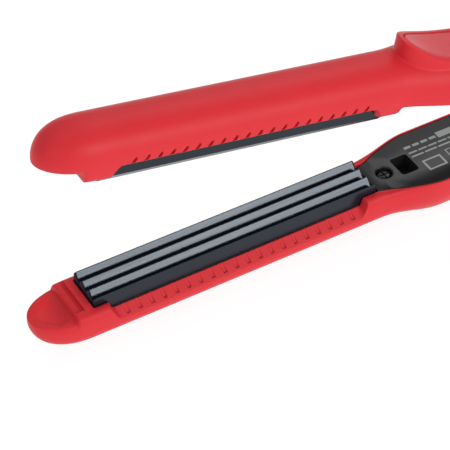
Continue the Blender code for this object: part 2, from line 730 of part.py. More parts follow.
# ---------------------------------------------------------------- hinge and cord gland


def hinge(lower, upper, finishes):
    centre = (HINGE_X, 0, HINGE_Z)
    along = (0, 1, 0)
    pin = [(-8.6, 0.0), (-8.6, 1.6), (-8.2, PIN_RADIUS), (8.2, PIN_RADIUS), (8.6, 1.6), (8.6, 0.0)]
    turned("hinge_pin", pin, centre, along, lower.frame, finishes["steel"], 20)
    for side, tag in ((-1, "near"), (1, "far")):
        cap = [(9.2, 0.0), (9.2, 3.3), (10.6, 3.3), (11.0, 2.9), (11.1, 0.0)]
        turned(f"hinge_cap_{tag}", cap, centre, (0, side, 0), upper.frame, finishes["red"], 24)
    turns = 5
    steps = 14
    radius = 3.6
    helix = []
    for i in range(turns * steps + 1):
        angle = -math.pi / 2 + i * math.tau / steps
        y = between(-2.8, 2.8, i / (turns * steps))
        helix.append((HINGE_X + radius * math.cos(angle), y, HINGE_Z + radius * math.sin(angle)))
    low_leg = [(HINGE_X - 7.0, -2.8, HINGE_Z - radius - 1.6), (HINGE_X - 3.0, -2.8, HINGE_Z - radius - 0.3)]
    high_leg = [(HINGE_X + 3.0, 2.8, HINGE_Z - radius - 0.4), (HINGE_X + 6.0, 2.8, HINGE_Z - radius - 1.6)]
    wire("hinge_spring", low_leg + helix + high_leg, 0.45, lower.frame, finishes["steel"])


def cord_gland(arm, finishes):
    """A swivelling gland: a flange inside the rear wall, a neck through it and a ribbed collar."""
    spin = bpy.data.objects.new("gland_swivel", None)
    spin.location = Vector((REAR_WALL_X, 0, arm.z(GLAND_DEPTH))) * MM
    spin.parent = arm.frame
    bpy.context.scene.collection.objects.link(spin)
    profile = [(-3.0, 2.4), (-3.0, FLANGE_RADIUS), (-0.4, FLANGE_RADIUS), (-0.4, NECK_RADIUS),
               (3.9, NECK_RADIUS), (3.9, 6.0), (6.2, 6.0)]
    for i in range(3):
        start = 6.2 + i * 2.4
        radius = 5.4 - 0.4 * i
        profile += [(start, radius - 0.7), (start + 1.0, radius - 0.7), (start + 1.0, radius),
                    (start + 2.4, radius)]
    profile += [(13.4, 2.4), (-3.0, 2.4)]
    return turned("cord_gland", profile, (0, 0, 0), (1, 0, 0), spin, finishes["black"], 20)


# ---------------------------------------------------------------- assembly


def finishes_table():
    return {
        "red": material("red_soft_touch_plastic", RED, 0.42),
        "panel": material("red_satin_panel", RED, 0.5),
        "cover": material("dark_grey_plastic", DARK_GREY, 0.45),
        "plate": material("coated_plate", PLATE_BLACK, 0.22, 0.6),
        "black": material("black_plastic", BLACK, 0.4),
        "steel": material("steel", STEEL, 0.3, 1.0),
        "aluminium": material("aluminium", ALUMINIUM, 0.35, 1.0),
        "ceramic": material("heater_ceramic", CERAMIC, 0.6),
        "mica": material("mica_sheet", MICA, 0.5),
        "white": material("white_insulation", WHITE, 0.5),
        "green": material("board_green", GREEN, 0.4),
        "lens": material("lens_red", LENS_RED, 0.15),
    }


def frames():
    """The work frame, and the hinge frame in which the upper arm is drawn closed and swung open."""
    work = bpy.data.objects.new("work_frame", None)
    work.location = Vector((-REST_X, 0, REST_DEPTH)) * MM
    swing = bpy.data.objects.new("arm_hinge", None)
    swing.location = Vector((HINGE_X, 0, HINGE_Z)) * MM
    swing.rotation_euler = (0, OPEN_ANGLE, 0)
    swing.parent = work
    closed = bpy.data.objects.new("upper_arm_frame", None)
    closed.location = Vector((-HINGE_X, 0, -HINGE_Z)) * MM
    closed.parent = swing
    for empty in (work, swing, closed):
        bpy.context.scene.collection.objects.link(empty)
    return work, closed


def build():
    clear_scene()
    finishes = finishes_table()
    work, closed = frames()
    lower = Arm("lower", work, 0.0, -1, 4.9, 3.0, 3.4, 14.2, 18.6, 17.2, REST_DEPTH)
    upper_tail = BACK_RADIUS + HINGE_Z - UPPER_CREST
    upper = Arm("upper", closed, UPPER_CREST, 1, 7.0, 3.5, 5.7, 17.6, 18.4, upper_tail, 30.0)
    lower_shell(lower, finishes["red"])
    upper_shell(upper, finishes["red"])
    for arm in (lower, upper):
        heating_stack(arm, finishes)
    lower_cover(lower, finishes)
    upper_cover(upper, finishes)
    lower_handle_parts(lower, finishes)
    upper_handle_parts(upper, finishes)
    switch_slider(upper, finishes)
    hinge(lower, upper, finishes)
    cord_gland(lower, finishes)


build()
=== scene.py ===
"""Studio scene of a two-arm hair crimper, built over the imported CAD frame.

Shapes are drawn in millimetres in the work frame, where X = 0 is the nose end of the plates, Z = 0
is the crests of the lower plate and Y = 0 is the centreline. The upper arm is drawn closed, and its
place matrix swings it open. Every finished piece is in metres in the row frame, like the CAD.
"""

import logging
import math
from collections.abc import Callable
from dataclasses import dataclass, field
from enum import Enum

import bpy
from mathutils import Matrix, Vector

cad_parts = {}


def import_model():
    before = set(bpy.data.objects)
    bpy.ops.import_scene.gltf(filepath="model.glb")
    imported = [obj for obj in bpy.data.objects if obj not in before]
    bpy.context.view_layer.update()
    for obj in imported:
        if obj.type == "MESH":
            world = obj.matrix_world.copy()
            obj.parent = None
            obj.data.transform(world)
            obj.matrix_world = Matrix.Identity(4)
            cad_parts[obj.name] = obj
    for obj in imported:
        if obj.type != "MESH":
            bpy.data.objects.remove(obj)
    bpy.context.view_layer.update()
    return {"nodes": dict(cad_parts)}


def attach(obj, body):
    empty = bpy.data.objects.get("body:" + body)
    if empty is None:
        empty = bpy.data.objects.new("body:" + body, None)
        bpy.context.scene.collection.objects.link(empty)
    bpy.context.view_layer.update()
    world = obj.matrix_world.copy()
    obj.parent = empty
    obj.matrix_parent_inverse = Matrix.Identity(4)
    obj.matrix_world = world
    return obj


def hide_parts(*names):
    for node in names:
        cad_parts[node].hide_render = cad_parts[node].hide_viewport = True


MM = 0.001
GAP = 0.3
PLATE_LENGTH = 90.0
PLATE_HALF = 6.0
COVER_START = 91.3
COVER_END = 206.0
COVER_THICKNESS = 2.0
CLOSED_CREST = -2.2
SWITCH_X = 150.0
LAMP_X = 136.0
GLAND_DEPTH = 10.8

Point = tuple[float, float, float]
Ring = list[Point]
Span = tuple[float, float]

log = logging.getLogger("crimper")


class Body(Enum):
    """The moving bodies of the part."""

    LOWER = "lower_arm"
    UPPER = "upper_arm"
    SWITCH = "power_switch"
    GLAND = "swivel_gland"


class Slot(Enum):
    """The material slots of the part's record."""

    RED_SHELL = "red_shell"
    RED_PANEL = "red_panel"
    COVER_GREY = "cover_grey"
    PLATE = "plate_coating"
    BLACK = "black_plastic"
    STEEL = "steel"
    ALUMINIUM = "aluminium"
    CERAMIC = "ceramic"
    MICA = "mica"
    WHITE = "white_insulation"
    BOARD = "board_green"
    LENS = "lens_red"


class Join(Enum):
    """How a tool shape changes the piece it meets."""

    CUT = "DIFFERENCE"
    ADD = "UNION"


# ---------------------------------------------------------------- modelling by hand


def ease(value: float, start: float, end: float) -> float:
    """0 before start, 1 after end, with a smooth change between them."""
    share = min(max((value - start) / (end - start), 0.0), 1.0)
    return share * share * (3.0 - 2.0 * share)


def between(low: float, high: float, share: float) -> float:
    """The value a share of the way from low to high."""
    return low + (high - low) * share


def spaced(start: float, end: float, count: int) -> list[float]:
    """Evenly spaced values, both ends included."""
    return [between(start, end, i / (count - 1)) for i in range(count)]


def arc(start: float, end: float, count: int) -> list[Point]:
    """Cosine and sine of evenly spaced angles in degrees, as (cos, sin, 0) points."""
    turns = [math.radians(a) for a in spaced(start, end, count)]
    return [(math.cos(a), math.sin(a), 0.0) for a in turns]


def hold(piece: bpy.types.Object) -> None:
    """Select one piece alone, in object mode."""
    bpy.ops.object.select_all(action="DESELECT")
    piece.select_set(True)
    bpy.context.view_layer.objects.active = piece


def named(name: str) -> bpy.types.Object:
    """Name the primitive that was just added, and settle its place into its mesh."""
    piece = bpy.context.object
    piece.name = name
    hold(piece)
    bpy.ops.object.transform_apply(location=True, rotation=True, scale=True)
    return piece


def weld(piece: bpy.types.Object) -> None:
    """Merge doubles, close open ends and turn every face outwards."""
    hold(piece)
    bpy.ops.object.mode_set(mode="EDIT")
    bpy.ops.mesh.select_mode(type="VERT")
    bpy.ops.mesh.select_all(action="SELECT")
    bpy.ops.mesh.remove_doubles(threshold=0.0005)
    bpy.ops.mesh.fill_holes(sides=0)
    bpy.ops.mesh.select_all(action="SELECT")
    bpy.ops.mesh.normals_make_consistent(inside=False)
    bpy.ops.object.mode_set(mode="OBJECT")


def wrap(name: str, rings: list[Ring]) -> bpy.types.Object:
    """Bend a flat grid over closed rings of points, weld its seam and close both ends.

    Args:
        name: The piece's name.
        rings: Rings of the same number of points, in order along the piece.

    Returns:
        The closed piece.
    """
    bpy.ops.mesh.primitive_grid_add(x_subdivisions=len(rings[0]), y_subdivisions=len(rings) - 1, size=1.0)
    piece = named(name)
    places = [value for ring in rings for point in [*ring, ring[0]] for value in point]
    piece.data.vertices.foreach_set("co", places)
    weld(piece)
    return piece


def brick(name: str, x_span: Span, y_span: Span, z_span: Span) -> bpy.types.Object:
    """Add a cube stretched over three spans."""
    spans = (x_span, y_span, z_span)
    middle = [sum(s) / 2 for s in spans]
    size = [abs(s[1] - s[0]) for s in spans]
    bpy.ops.mesh.primitive_cube_add(size=1.0, location=middle, scale=size)
    return named(name)


def bar(name: str, start: Point, end: Point, radius: float, sides: int = 48) -> bpy.types.Object:
    """Add a round bar between two points."""
    along = Vector(end) - Vector(start)
    turn = Vector((0, 0, 1)).rotation_difference(along).to_euler()
    middle = (Vector(start) + Vector(end)) / 2
    bpy.ops.mesh.primitive_cylinder_add(vertices=sides, radius=radius, depth=along.length, location=middle,
                                        rotation=turn)
    return named(name)


def combine(piece: bpy.types.Object, tool: bpy.types.Object, how: Join = Join.CUT) -> None:
    """Cut a tool shape out of a piece, or join it on, and use the tool up.

    Args:
        piece: The piece that changes.
        tool: The closed shape that meets it.
        how: Whether the tool is cut away or joined on.
    """
    hold(piece)
    step = piece.modifiers.new("shape", "BOOLEAN")
    step.operation = how.value
    step.solver = "EXACT"
    step.object = tool
    bpy.ops.object.modifier_apply(modifier=step.name)
    bpy.data.objects.remove(tool, do_unlink=True)


def soften(piece: bpy.types.Object, width: float, segments: int = 3, angle: float = 30.0) -> None:
    """Round every edge of a piece that is sharper than an angle in degrees."""
    hold(piece)
    step = piece.modifiers.new("soft edges", "BEVEL")
    step.width = width
    step.segments = segments
    step.limit_method = "ANGLE"
    step.angle_limit = math.radians(angle)
    bpy.ops.object.modifier_apply(modifier=step.name)


def bevel_chosen(piece: bpy.types.Object, width: float, segments: int,
                 chosen: Callable[[Vector, Vector], bool]) -> None:
    """Round the edges that a test picks by their two ends.

    Args:
        piece: The piece.
        width: The bevel's width.
        segments: Steps round each edge.
        chosen: The test of an edge's two end points.
    """
    hold(piece)
    bpy.ops.object.mode_set(mode="EDIT")
    bpy.ops.mesh.select_mode(type="EDGE")
    bpy.ops.mesh.select_all(action="DESELECT")
    bpy.ops.object.mode_set(mode="OBJECT")
    for edge in piece.data.edges:
        first, second = (piece.data.vertices[i].co for i in edge.vertices)
        edge.select = chosen(first, second)
    bpy.ops.object.mode_set(mode="EDIT")
    bpy.ops.mesh.bevel(offset=width, segments=segments)
    bpy.ops.object.mode_set(mode="OBJECT")


def turned(name: str, profile: list[Span], centre: Point, axis: Point, sides: int = 64) -> bpy.types.Object:
    """Spin a profile about an axis, starting from one edge of a plane.

    Args:
        name: The piece's name.
        profile: (distance along the axis, radius) steps from one end to the other.
        centre: A point on the axis, where the distance is 0.
        axis: The axis's direction.
        sides: How many steps make a full turn.

    Returns:
        The closed round piece.
    """
    along = Vector(axis).normalized()
    side = along.orthogonal().normalized()
    bpy.ops.mesh.primitive_grid_add(x_subdivisions=len(profile) - 1, y_subdivisions=1, size=1.0)
    piece = named(name)
    line = [Vector(centre) + along * d + side * r for d, r in profile]
    piece.data.vertices.foreach_set("co", [value for point in line * 2 for value in point])
    bpy.ops.object.mode_set(mode="EDIT")
    bpy.ops.mesh.select_all(action="SELECT")
    bpy.ops.mesh.delete(type="ONLY_FACE")
    bpy.ops.mesh.select_all(action="SELECT")
    bpy.ops.mesh.remove_doubles(threshold=0.0005)
    bpy.ops.mesh.select_all(action="SELECT")
    bpy.ops.mesh.spin(steps=sides, angle=math.tau, center=centre, axis=along)
    bpy.ops.object.mode_set(mode="OBJECT")
    weld(piece)
    return piece


def repeat(tool: bpy.types.Object, count: int, step: Point) -> None:
    """Copy a tool shape along a row, as one mesh."""
    hold(tool)
    row = tool.modifiers.new("row", "ARRAY")
    row.count = count
    row.use_relative_offset = False
    row.use_constant_offset = True
    row.constant_offset_displace = step
    bpy.ops.object.modifier_apply(modifier=row.name)


def mirror_across(tool: bpy.types.Object) -> None:
    """Add the same shape on the other side of the centreline."""
    hold(tool)
    flip = tool.modifiers.new("far side", "MIRROR")
    flip.use_axis = (False, True, False)
    bpy.ops.object.modifier_apply(modifier=flip.name)
    weld(tool)


# ---------------------------------------------------------------- shader recipes


class Value:
    """A shader socket that takes part in sums as a number does."""

    def __init__(self, recipe: "Recipe", socket: bpy.types.NodeSocket) -> None:
        """Keep the recipe that owns the socket."""
        self.recipe = recipe
        self.socket = socket

    def sum_of(self, operation: str, first: object, second: object = 0.0) -> "Value":
        """Add one Math node that works on two values or numbers."""
        made = self.recipe.node("ShaderNodeMath", {"operation": operation}, {0: first, 1: second})
        return Value(self.recipe, made.outputs[0])

    def __add__(self, other: object) -> "Value":
        """self + other."""
        return self.sum_of("ADD", self, other)

    __radd__ = __add__

    def __sub__(self, other: object) -> "Value":
        """self - other."""
        return self.sum_of("SUBTRACT", self, other)

    def __rsub__(self, other: object) -> "Value":
        """other - self."""
        return self.sum_of("SUBTRACT", other, self)

    def __mul__(self, other: object) -> "Value":
        """self * other."""
        return self.sum_of("MULTIPLY", self, other)

    __rmul__ = __mul__

    def __gt__(self, other: object) -> "Value":
        """1 where self is above other, else 0."""
        return self.sum_of("GREATER_THAN", self, other)

    def __lt__(self, other: object) -> "Value":
        """1 where self is below other, else 0."""
        return self.sum_of("LESS_THAN", self, other)

    def wrapped(self, length: float) -> "Value":
        """self repeated every length, from 0."""
        return self.sum_of("MODULO", self, length)

    def inside(self, low: float, high: float) -> "Value":
        """1 between low and high, else 0."""
        return (self > low) * (self < high)


class Recipe:
    """One material's node tree, with its principled shader and its coordinates in millimetres."""

    def __init__(self, name: str, origin: Point = (0.0, 0.0, 0.0)) -> None:
        """Start a material whose coordinates begin at an origin in metres.

        Args:
            name: The material's name.
            origin: The point of the row frame where the coordinates are 0.
        """
        self.material = bpy.data.materials.new(name)
        self.material.use_nodes = True
        self.tree = self.material.node_tree
        self.shader = self.tree.nodes["Principled BSDF"]
        place = self.node("ShaderNodeTexCoord", {}, {}).outputs["Object"]
        settings = {"vector_type": "TEXTURE"}
        inputs = {"Vector": place, "Location": origin, "Scale": (MM, MM, MM)}
        self.place = self.node("ShaderNodeMapping", settings, inputs).outputs[0]

    def node(self, kind: str, settings: dict[str, object], inputs: dict[object, object]) -> bpy.types.Node:
        """Add any node.

        Args:
            kind: The node's type.
            settings: Properties that are set first, such as a Math node's operation.
            inputs: Values, links or Values for its sockets, by name or number.

        Returns:
            The node.
        """
        made = self.tree.nodes.new(kind)
        for key, value in settings.items():
            setattr(made, key, value)
        for key, value in inputs.items():
            socket = value.socket if isinstance(value, Value) else value
            if isinstance(socket, bpy.types.NodeSocket):
                self.tree.links.new(socket, made.inputs[key])
            else:
                made.inputs[key].default_value = socket
        return made

    def axes(self) -> tuple[Value, Value, Value]:
        """The three coordinates in millimetres."""
        parts = self.node("ShaderNodeSeparateXYZ", {}, {0: self.place})
        return tuple(Value(self, parts.outputs[i]) for i in range(3))

    def noise(self, per_mm: float, detail: float = 3.0, stretch: Point = (1.0, 1.0, 1.0)) -> Value:
        """Cloudy noise between 0 and 1.

        Args:
            per_mm: How many cells there are in a millimetre.
            detail: Levels of finer detail.
            stretch: Scale factors along the three axes, small along the grain.
        """
        moved = self.node("ShaderNodeVectorMath", {"operation": "MULTIPLY"}, {0: self.place, 1: stretch})
        inputs = {"Vector": moved.outputs[0], "Scale": per_mm, "Detail": detail}
        return Value(self, self.node("ShaderNodeTexNoise", {}, inputs).outputs[0])

    def grains(self, per_mm: float) -> Value:
        """Small rounded cells, as on a spark-eroded mould."""
        inputs = {"Vector": self.place, "Scale": per_mm}
        return Value(self, self.node("ShaderNodeTexVoronoi", {}, inputs).outputs["Distance"])

    def mixed(self, share: Value, low: object, high: object) -> bpy.types.NodeSocket:
        """One colour where the share is 0 and another where it is 1."""
        inputs = {0: share, 6: low, 7: high}
        return self.node("ShaderNodeMix", {"data_type": "RGBA"}, inputs).outputs[2]

    def relief(self, height: Value, depth: float, rounding: float = 0.0) -> None:
        """Press a fine height pattern into the surface, over rounded edges.

        Args:
            height: The pattern.
            depth: The height in millimetres that 1 stands for.
            rounding: The radius in millimetres of the moulded edges, or 0 for crisp ones.
        """
        inputs = {"Height": height, "Distance": depth * MM, "Strength": 1.0}
        if rounding:
            edges = self.node("ShaderNodeBevel", {"samples": 6}, {"Radius": rounding * MM})
            inputs["Normal"] = edges.outputs[0]
        self.set("Normal", self.node("ShaderNodeBump", {}, inputs).outputs[0])

    def set(self, name: str, value: object) -> None:
        """Set or link one socket of the principled shader."""
        socket = self.shader.inputs[name]
        value = value.socket if isinstance(value, Value) else value
        if isinstance(value, bpy.types.NodeSocket):
            self.tree.links.new(value, socket)
        else:
            socket.default_value = value


def colour(red: float, green: float, blue: float) -> tuple[float, float, float, float]:
    """A linear colour with full alpha."""
    return (red, green, blue, 1.0)


@dataclass(frozen=True)
class SoftTouch:
    """Soft-touch red plastic: an even velvety skin with a faint moulded grain."""

    name: str
    base: Point
    deep: Point
    roughness: float = 0.5
    sheen: float = 0.25
    gloss: float = 0.28
    rounding: float = 0.35

    def build(self) -> bpy.types.Material:
        """Make the material."""
        recipe = Recipe(self.name)
        cloud = recipe.noise(0.05, 2.0)
        skin = recipe.noise(2.2, 4.0)
        rubbed = recipe.noise(0.22, 5.0)
        shade = recipe.mixed(cloud * 0.35 + skin * 0.15, colour(*self.base), colour(*self.deep))
        recipe.set("Base Color", shade)
        recipe.set("Roughness", self.roughness + (rubbed - 0.5) * 0.12 + (skin - 0.5) * 0.06)
        recipe.set("Specular IOR Level", self.gloss)
        recipe.set("Sheen Weight", self.sheen)
        recipe.set("Sheen Roughness", 0.22)
        recipe.set("Sheen Tint", colour(1.0, 0.86, 0.86))
        recipe.relief(skin * 0.7 + recipe.grains(3.0) * 0.5, 0.006, self.rounding)
        return recipe.material


@dataclass(frozen=True)
class MouldedPlastic:
    """Spark-eroded plastic in one tone, with a fine satin grain and light handling marks."""

    name: str
    base: Point
    light: Point
    roughness: float = 0.42
    grain: float = 0.012
    rounding: float = 0.2

    def tone(self, recipe: Recipe) -> bpy.types.NodeSocket:
        """The plastic's own slightly cloudy colour."""
        cloud = recipe.noise(0.12, 4.0) * 0.6 + recipe.noise(1.6, 3.0) * 0.4
        return recipe.mixed(cloud, colour(*self.base), colour(*self.light))

    def build(self) -> bpy.types.Material:
        """Make the material."""
        recipe = Recipe(self.name)
        recipe.set("Base Color", self.tone(recipe))
        self.surface(recipe)
        return recipe.material

    def surface(self, recipe: Recipe) -> Value:
        """Add the roughness and the grain, and return the roughness."""
        marks = recipe.noise(0.5, 6.0, (0.2, 1.0, 1.0))
        rough = self.roughness + (marks - 0.5) * 0.16
        recipe.set("Roughness", rough)
        recipe.relief(recipe.grains(4.0) * 0.7 + recipe.noise(5.0, 2.0) * 0.5, self.grain, self.rounding)
        return rough


@dataclass(frozen=True)
class PrintedCover(MouldedPlastic):
    """The lower inner cover's plastic, with plain printed bars and outlined boxes and no lettering."""

    origin: Point = (0.0, 0.0, 0.0)
    ink: Point = (0.4, 0.42, 0.41)
    start: float = 107.4

    def box_line(self, x: Value, y: Value, x_span: Span, y_span: Span, line: float) -> Value:
        """The outline of a plain printed box."""
        outer = x.inside(*x_span) * y.inside(*y_span)
        hollow = x.inside(x_span[0] + line, x_span[1] - line) * y.inside(y_span[0] + line, y_span[1] - line)
        return outer - hollow

    def dashes(self, x: Value, y: Value, y_span: Span, pitch: float, fill: float, end: float) -> Value:
        """A row of plain printed dashes along the handle."""
        step = (x - self.start).wrapped(pitch)
        return step.inside(0.0, fill) * x.inside(self.start, end) * y.inside(*y_span)

    def build(self) -> bpy.types.Material:
        """Make the material."""
        recipe = Recipe(self.name, self.origin)
        x, y, _ = recipe.axes()
        print_mask = self.dashes(x, y, (5.2, 6.2), 2.9, 2.2, 118.4)
        print_mask += x.inside(118.9, 131.0) * y.inside(4.7, 7.1)
        print_mask += self.dashes(x, y, (2.9, 3.5), 3.4, 2.9, 128.0)
        print_mask += self.dashes(x, y, (1.2, 1.8), 4.6, 4.1, 127.0)
        print_mask += self.box_line(x, y, (108.8, 115.0), (-6.0, -1.4), 0.6)
        print_mask += self.box_line(x, y, (117.2, 121.2), (-4.6, -0.6), 0.3)
        faded = print_mask * (0.8 + recipe.noise(3.0, 3.0) * 0.3)
        recipe.set("Base Color", recipe.mixed(faded, self.tone(recipe), colour(*self.ink)))
        self.surface(recipe)
        return recipe.material


@dataclass(frozen=True)
class PlateCoating:
    """Dark blue-black baked coating: glossy, with fine flecks and faint draw lines along the grooves."""

    name: str
    roughness: float = 0.2

    def build(self) -> bpy.types.Material:
        """Make the material."""
        recipe = Recipe(self.name)
        draw = recipe.noise(1.6, 4.0, (0.03, 1.0, 1.0))
        fleck = recipe.noise(6.0, 2.0)
        recipe.set("Base Color", recipe.mixed(draw * 0.6 + fleck * 0.4, colour(0.003, 0.007, 0.013),
                                              colour(0.006, 0.012, 0.020)))
        recipe.set("Roughness", self.roughness + (draw - 0.5) * 0.1 + (fleck - 0.5) * 0.08)
        recipe.set("IOR", 1.39)
        recipe.set("Specular Tint", colour(0.82, 0.9, 1.0))
        recipe.relief(draw * 0.6 + fleck * 0.4, 0.0015, 0.1)
        return recipe.material


@dataclass(frozen=True)
class BrushedMetal:
    """Bare metal with drawn lines and dull patches."""

    name: str
    base: Point
    dull: Point
    roughness: float = 0.28

    def build(self) -> bpy.types.Material:
        """Make the material."""
        recipe = Recipe(self.name)
        lines = recipe.noise(3.0, 4.0, (0.08, 1.0, 1.0))
        dull = recipe.noise(0.5, 5.0)
        recipe.set("Base Color", recipe.mixed(dull, colour(*self.base), colour(*self.dull)))
        recipe.set("Metallic", 1.0)
        recipe.set("Roughness", self.roughness + (lines - 0.5) * 0.2 + (dull - 0.5) * 0.2)
        recipe.relief(lines, 0.008, 0.08)
        return recipe.material


@dataclass(frozen=True)
class Mineral:
    """Fired or pressed sheet: matt, speckled and slightly layered."""

    name: str
    base: Point
    speck: Point
    roughness: float = 0.6
    cells: float = 1.5

    def build(self) -> bpy.types.Material:
        """Make the material."""
        recipe = Recipe(self.name)
        cloud = recipe.noise(self.cells, 6.0)
        flakes = recipe.noise(self.cells * 2.5, 2.0, (0.3, 1.0, 1.0))
        recipe.set("Base Color", recipe.mixed(cloud * 0.6 + flakes * 0.4, colour(*self.base),
                                              colour(*self.speck)))
        recipe.set("Roughness", self.roughness + (flakes - 0.5) * 0.25)
        recipe.relief(flakes, 0.02, 0.1)
        return recipe.material


@dataclass(frozen=True)
class CircuitBoard:
    """Green solder mask with raised tracks."""

    name: str

    def build(self) -> bpy.types.Material:
        """Make the material."""
        recipe = Recipe(self.name)
        _, y, _ = recipe.axes()
        bends = recipe.noise(0.15, 0.0) * 6.0
        tracks = (y + bends + 40.0).wrapped(1.6).inside(0.0, 0.55)
        recipe.set("Base Color", recipe.mixed(tracks, colour(0.012, 0.11, 0.04), colour(0.03, 0.2, 0.07)))
        recipe.set("Roughness", 0.3 + recipe.noise(1.0, 4.0) * 0.2)
        recipe.relief(tracks + recipe.noise(3.0, 3.0) * 0.3, 0.03)
        return recipe.material


@dataclass(frozen=True)
class LensPlastic:
    """Clear red lens with a moulded diffusing texture."""

    name: str

    def build(self) -> bpy.types.Material:
        """Make the material."""
        recipe = Recipe(self.name)
        facets = recipe.grains(1.2)
        recipe.set("Base Color", recipe.mixed(facets, colour(0.62, 0.02, 0.015), colour(0.3, 0.008, 0.006)))
        recipe.set("Roughness", 0.08 + recipe.noise(1.5, 4.0) * 0.12)
        recipe.set("Transmission Weight", 0.35)
        recipe.relief(facets, 0.03, 0.15)
        return recipe.material


COVER_TONES = ((0.010, 0.0105, 0.011), (0.020, 0.020, 0.021), 0.32)


def finishes() -> dict[Slot, bpy.types.Material]:
    """Make one material for every slot of the record."""
    made = {
        Slot.RED_SHELL: SoftTouch("red_soft_touch", (0.70, 0.022, 0.032), (0.60, 0.015, 0.023)),
        Slot.RED_PANEL: SoftTouch("red_satin_panel", (0.70, 0.075, 0.085), (0.60, 0.05, 0.06), 0.5, 0.5, 0.3),
        Slot.COVER_GREY: MouldedPlastic("cover_plastic", *COVER_TONES),
        Slot.PLATE: PlateCoating("plate_coating"),
        Slot.BLACK: MouldedPlastic("black_plastic", (0.012, 0.013, 0.015), (0.024, 0.025, 0.028), 0.4),
        Slot.STEEL: BrushedMetal("steel", (0.55, 0.55, 0.56), (0.36, 0.35, 0.34)),
        Slot.ALUMINIUM: BrushedMetal("aluminium", (0.72, 0.73, 0.74), (0.55, 0.55, 0.55), 0.36),
        Slot.CERAMIC: Mineral("heater_ceramic", (0.82, 0.80, 0.74), (0.68, 0.64, 0.56)),
        Slot.MICA: Mineral("mica_sheet", (0.60, 0.48, 0.30), (0.40, 0.30, 0.17), 0.4, 0.8),
        Slot.WHITE: Mineral("white_insulation", (0.80, 0.79, 0.75), (0.66, 0.64, 0.59), 0.5, 0.7),
        Slot.BOARD: CircuitBoard("control_board"),
        Slot.LENS: LensPlastic("indicator_lens"),
    }
    return {slot: finish.build() for slot, finish in made.items()}


# ---------------------------------------------------------------- shared sizes


@dataclass(frozen=True)
class Hinge:
    """The hinge axis and how far the arms stand open at rest."""

    x: float = 217.6
    z: float = -1.1
    open_angle: float = math.radians(10.87)
    drum_radius: float = 9.4
    drum_half: float = 10.5
    back_radius: float = 12.4
    knuckle_radius: float = 7.2
    slot_half: float = 7.3
    pin_radius: float = 2.0

    def work_place(self) -> Matrix:
        """Millimetres of the work frame to metres of the row frame."""
        return Matrix.Scale(MM, 4) @ Matrix.Translation((-152.5, 0.0, 17.0))

    def swung_place(self) -> Matrix:
        """The closed upper arm's millimetres to metres of the row frame, swung open."""
        axis = Vector((self.x, 0.0, self.z))
        turn = Matrix.Rotation(self.open_angle, 4, "Y")
        swing = Matrix.Translation(axis) @ turn @ Matrix.Translation(-axis)
        return self.work_place() @ swing


HINGE = Hinge()


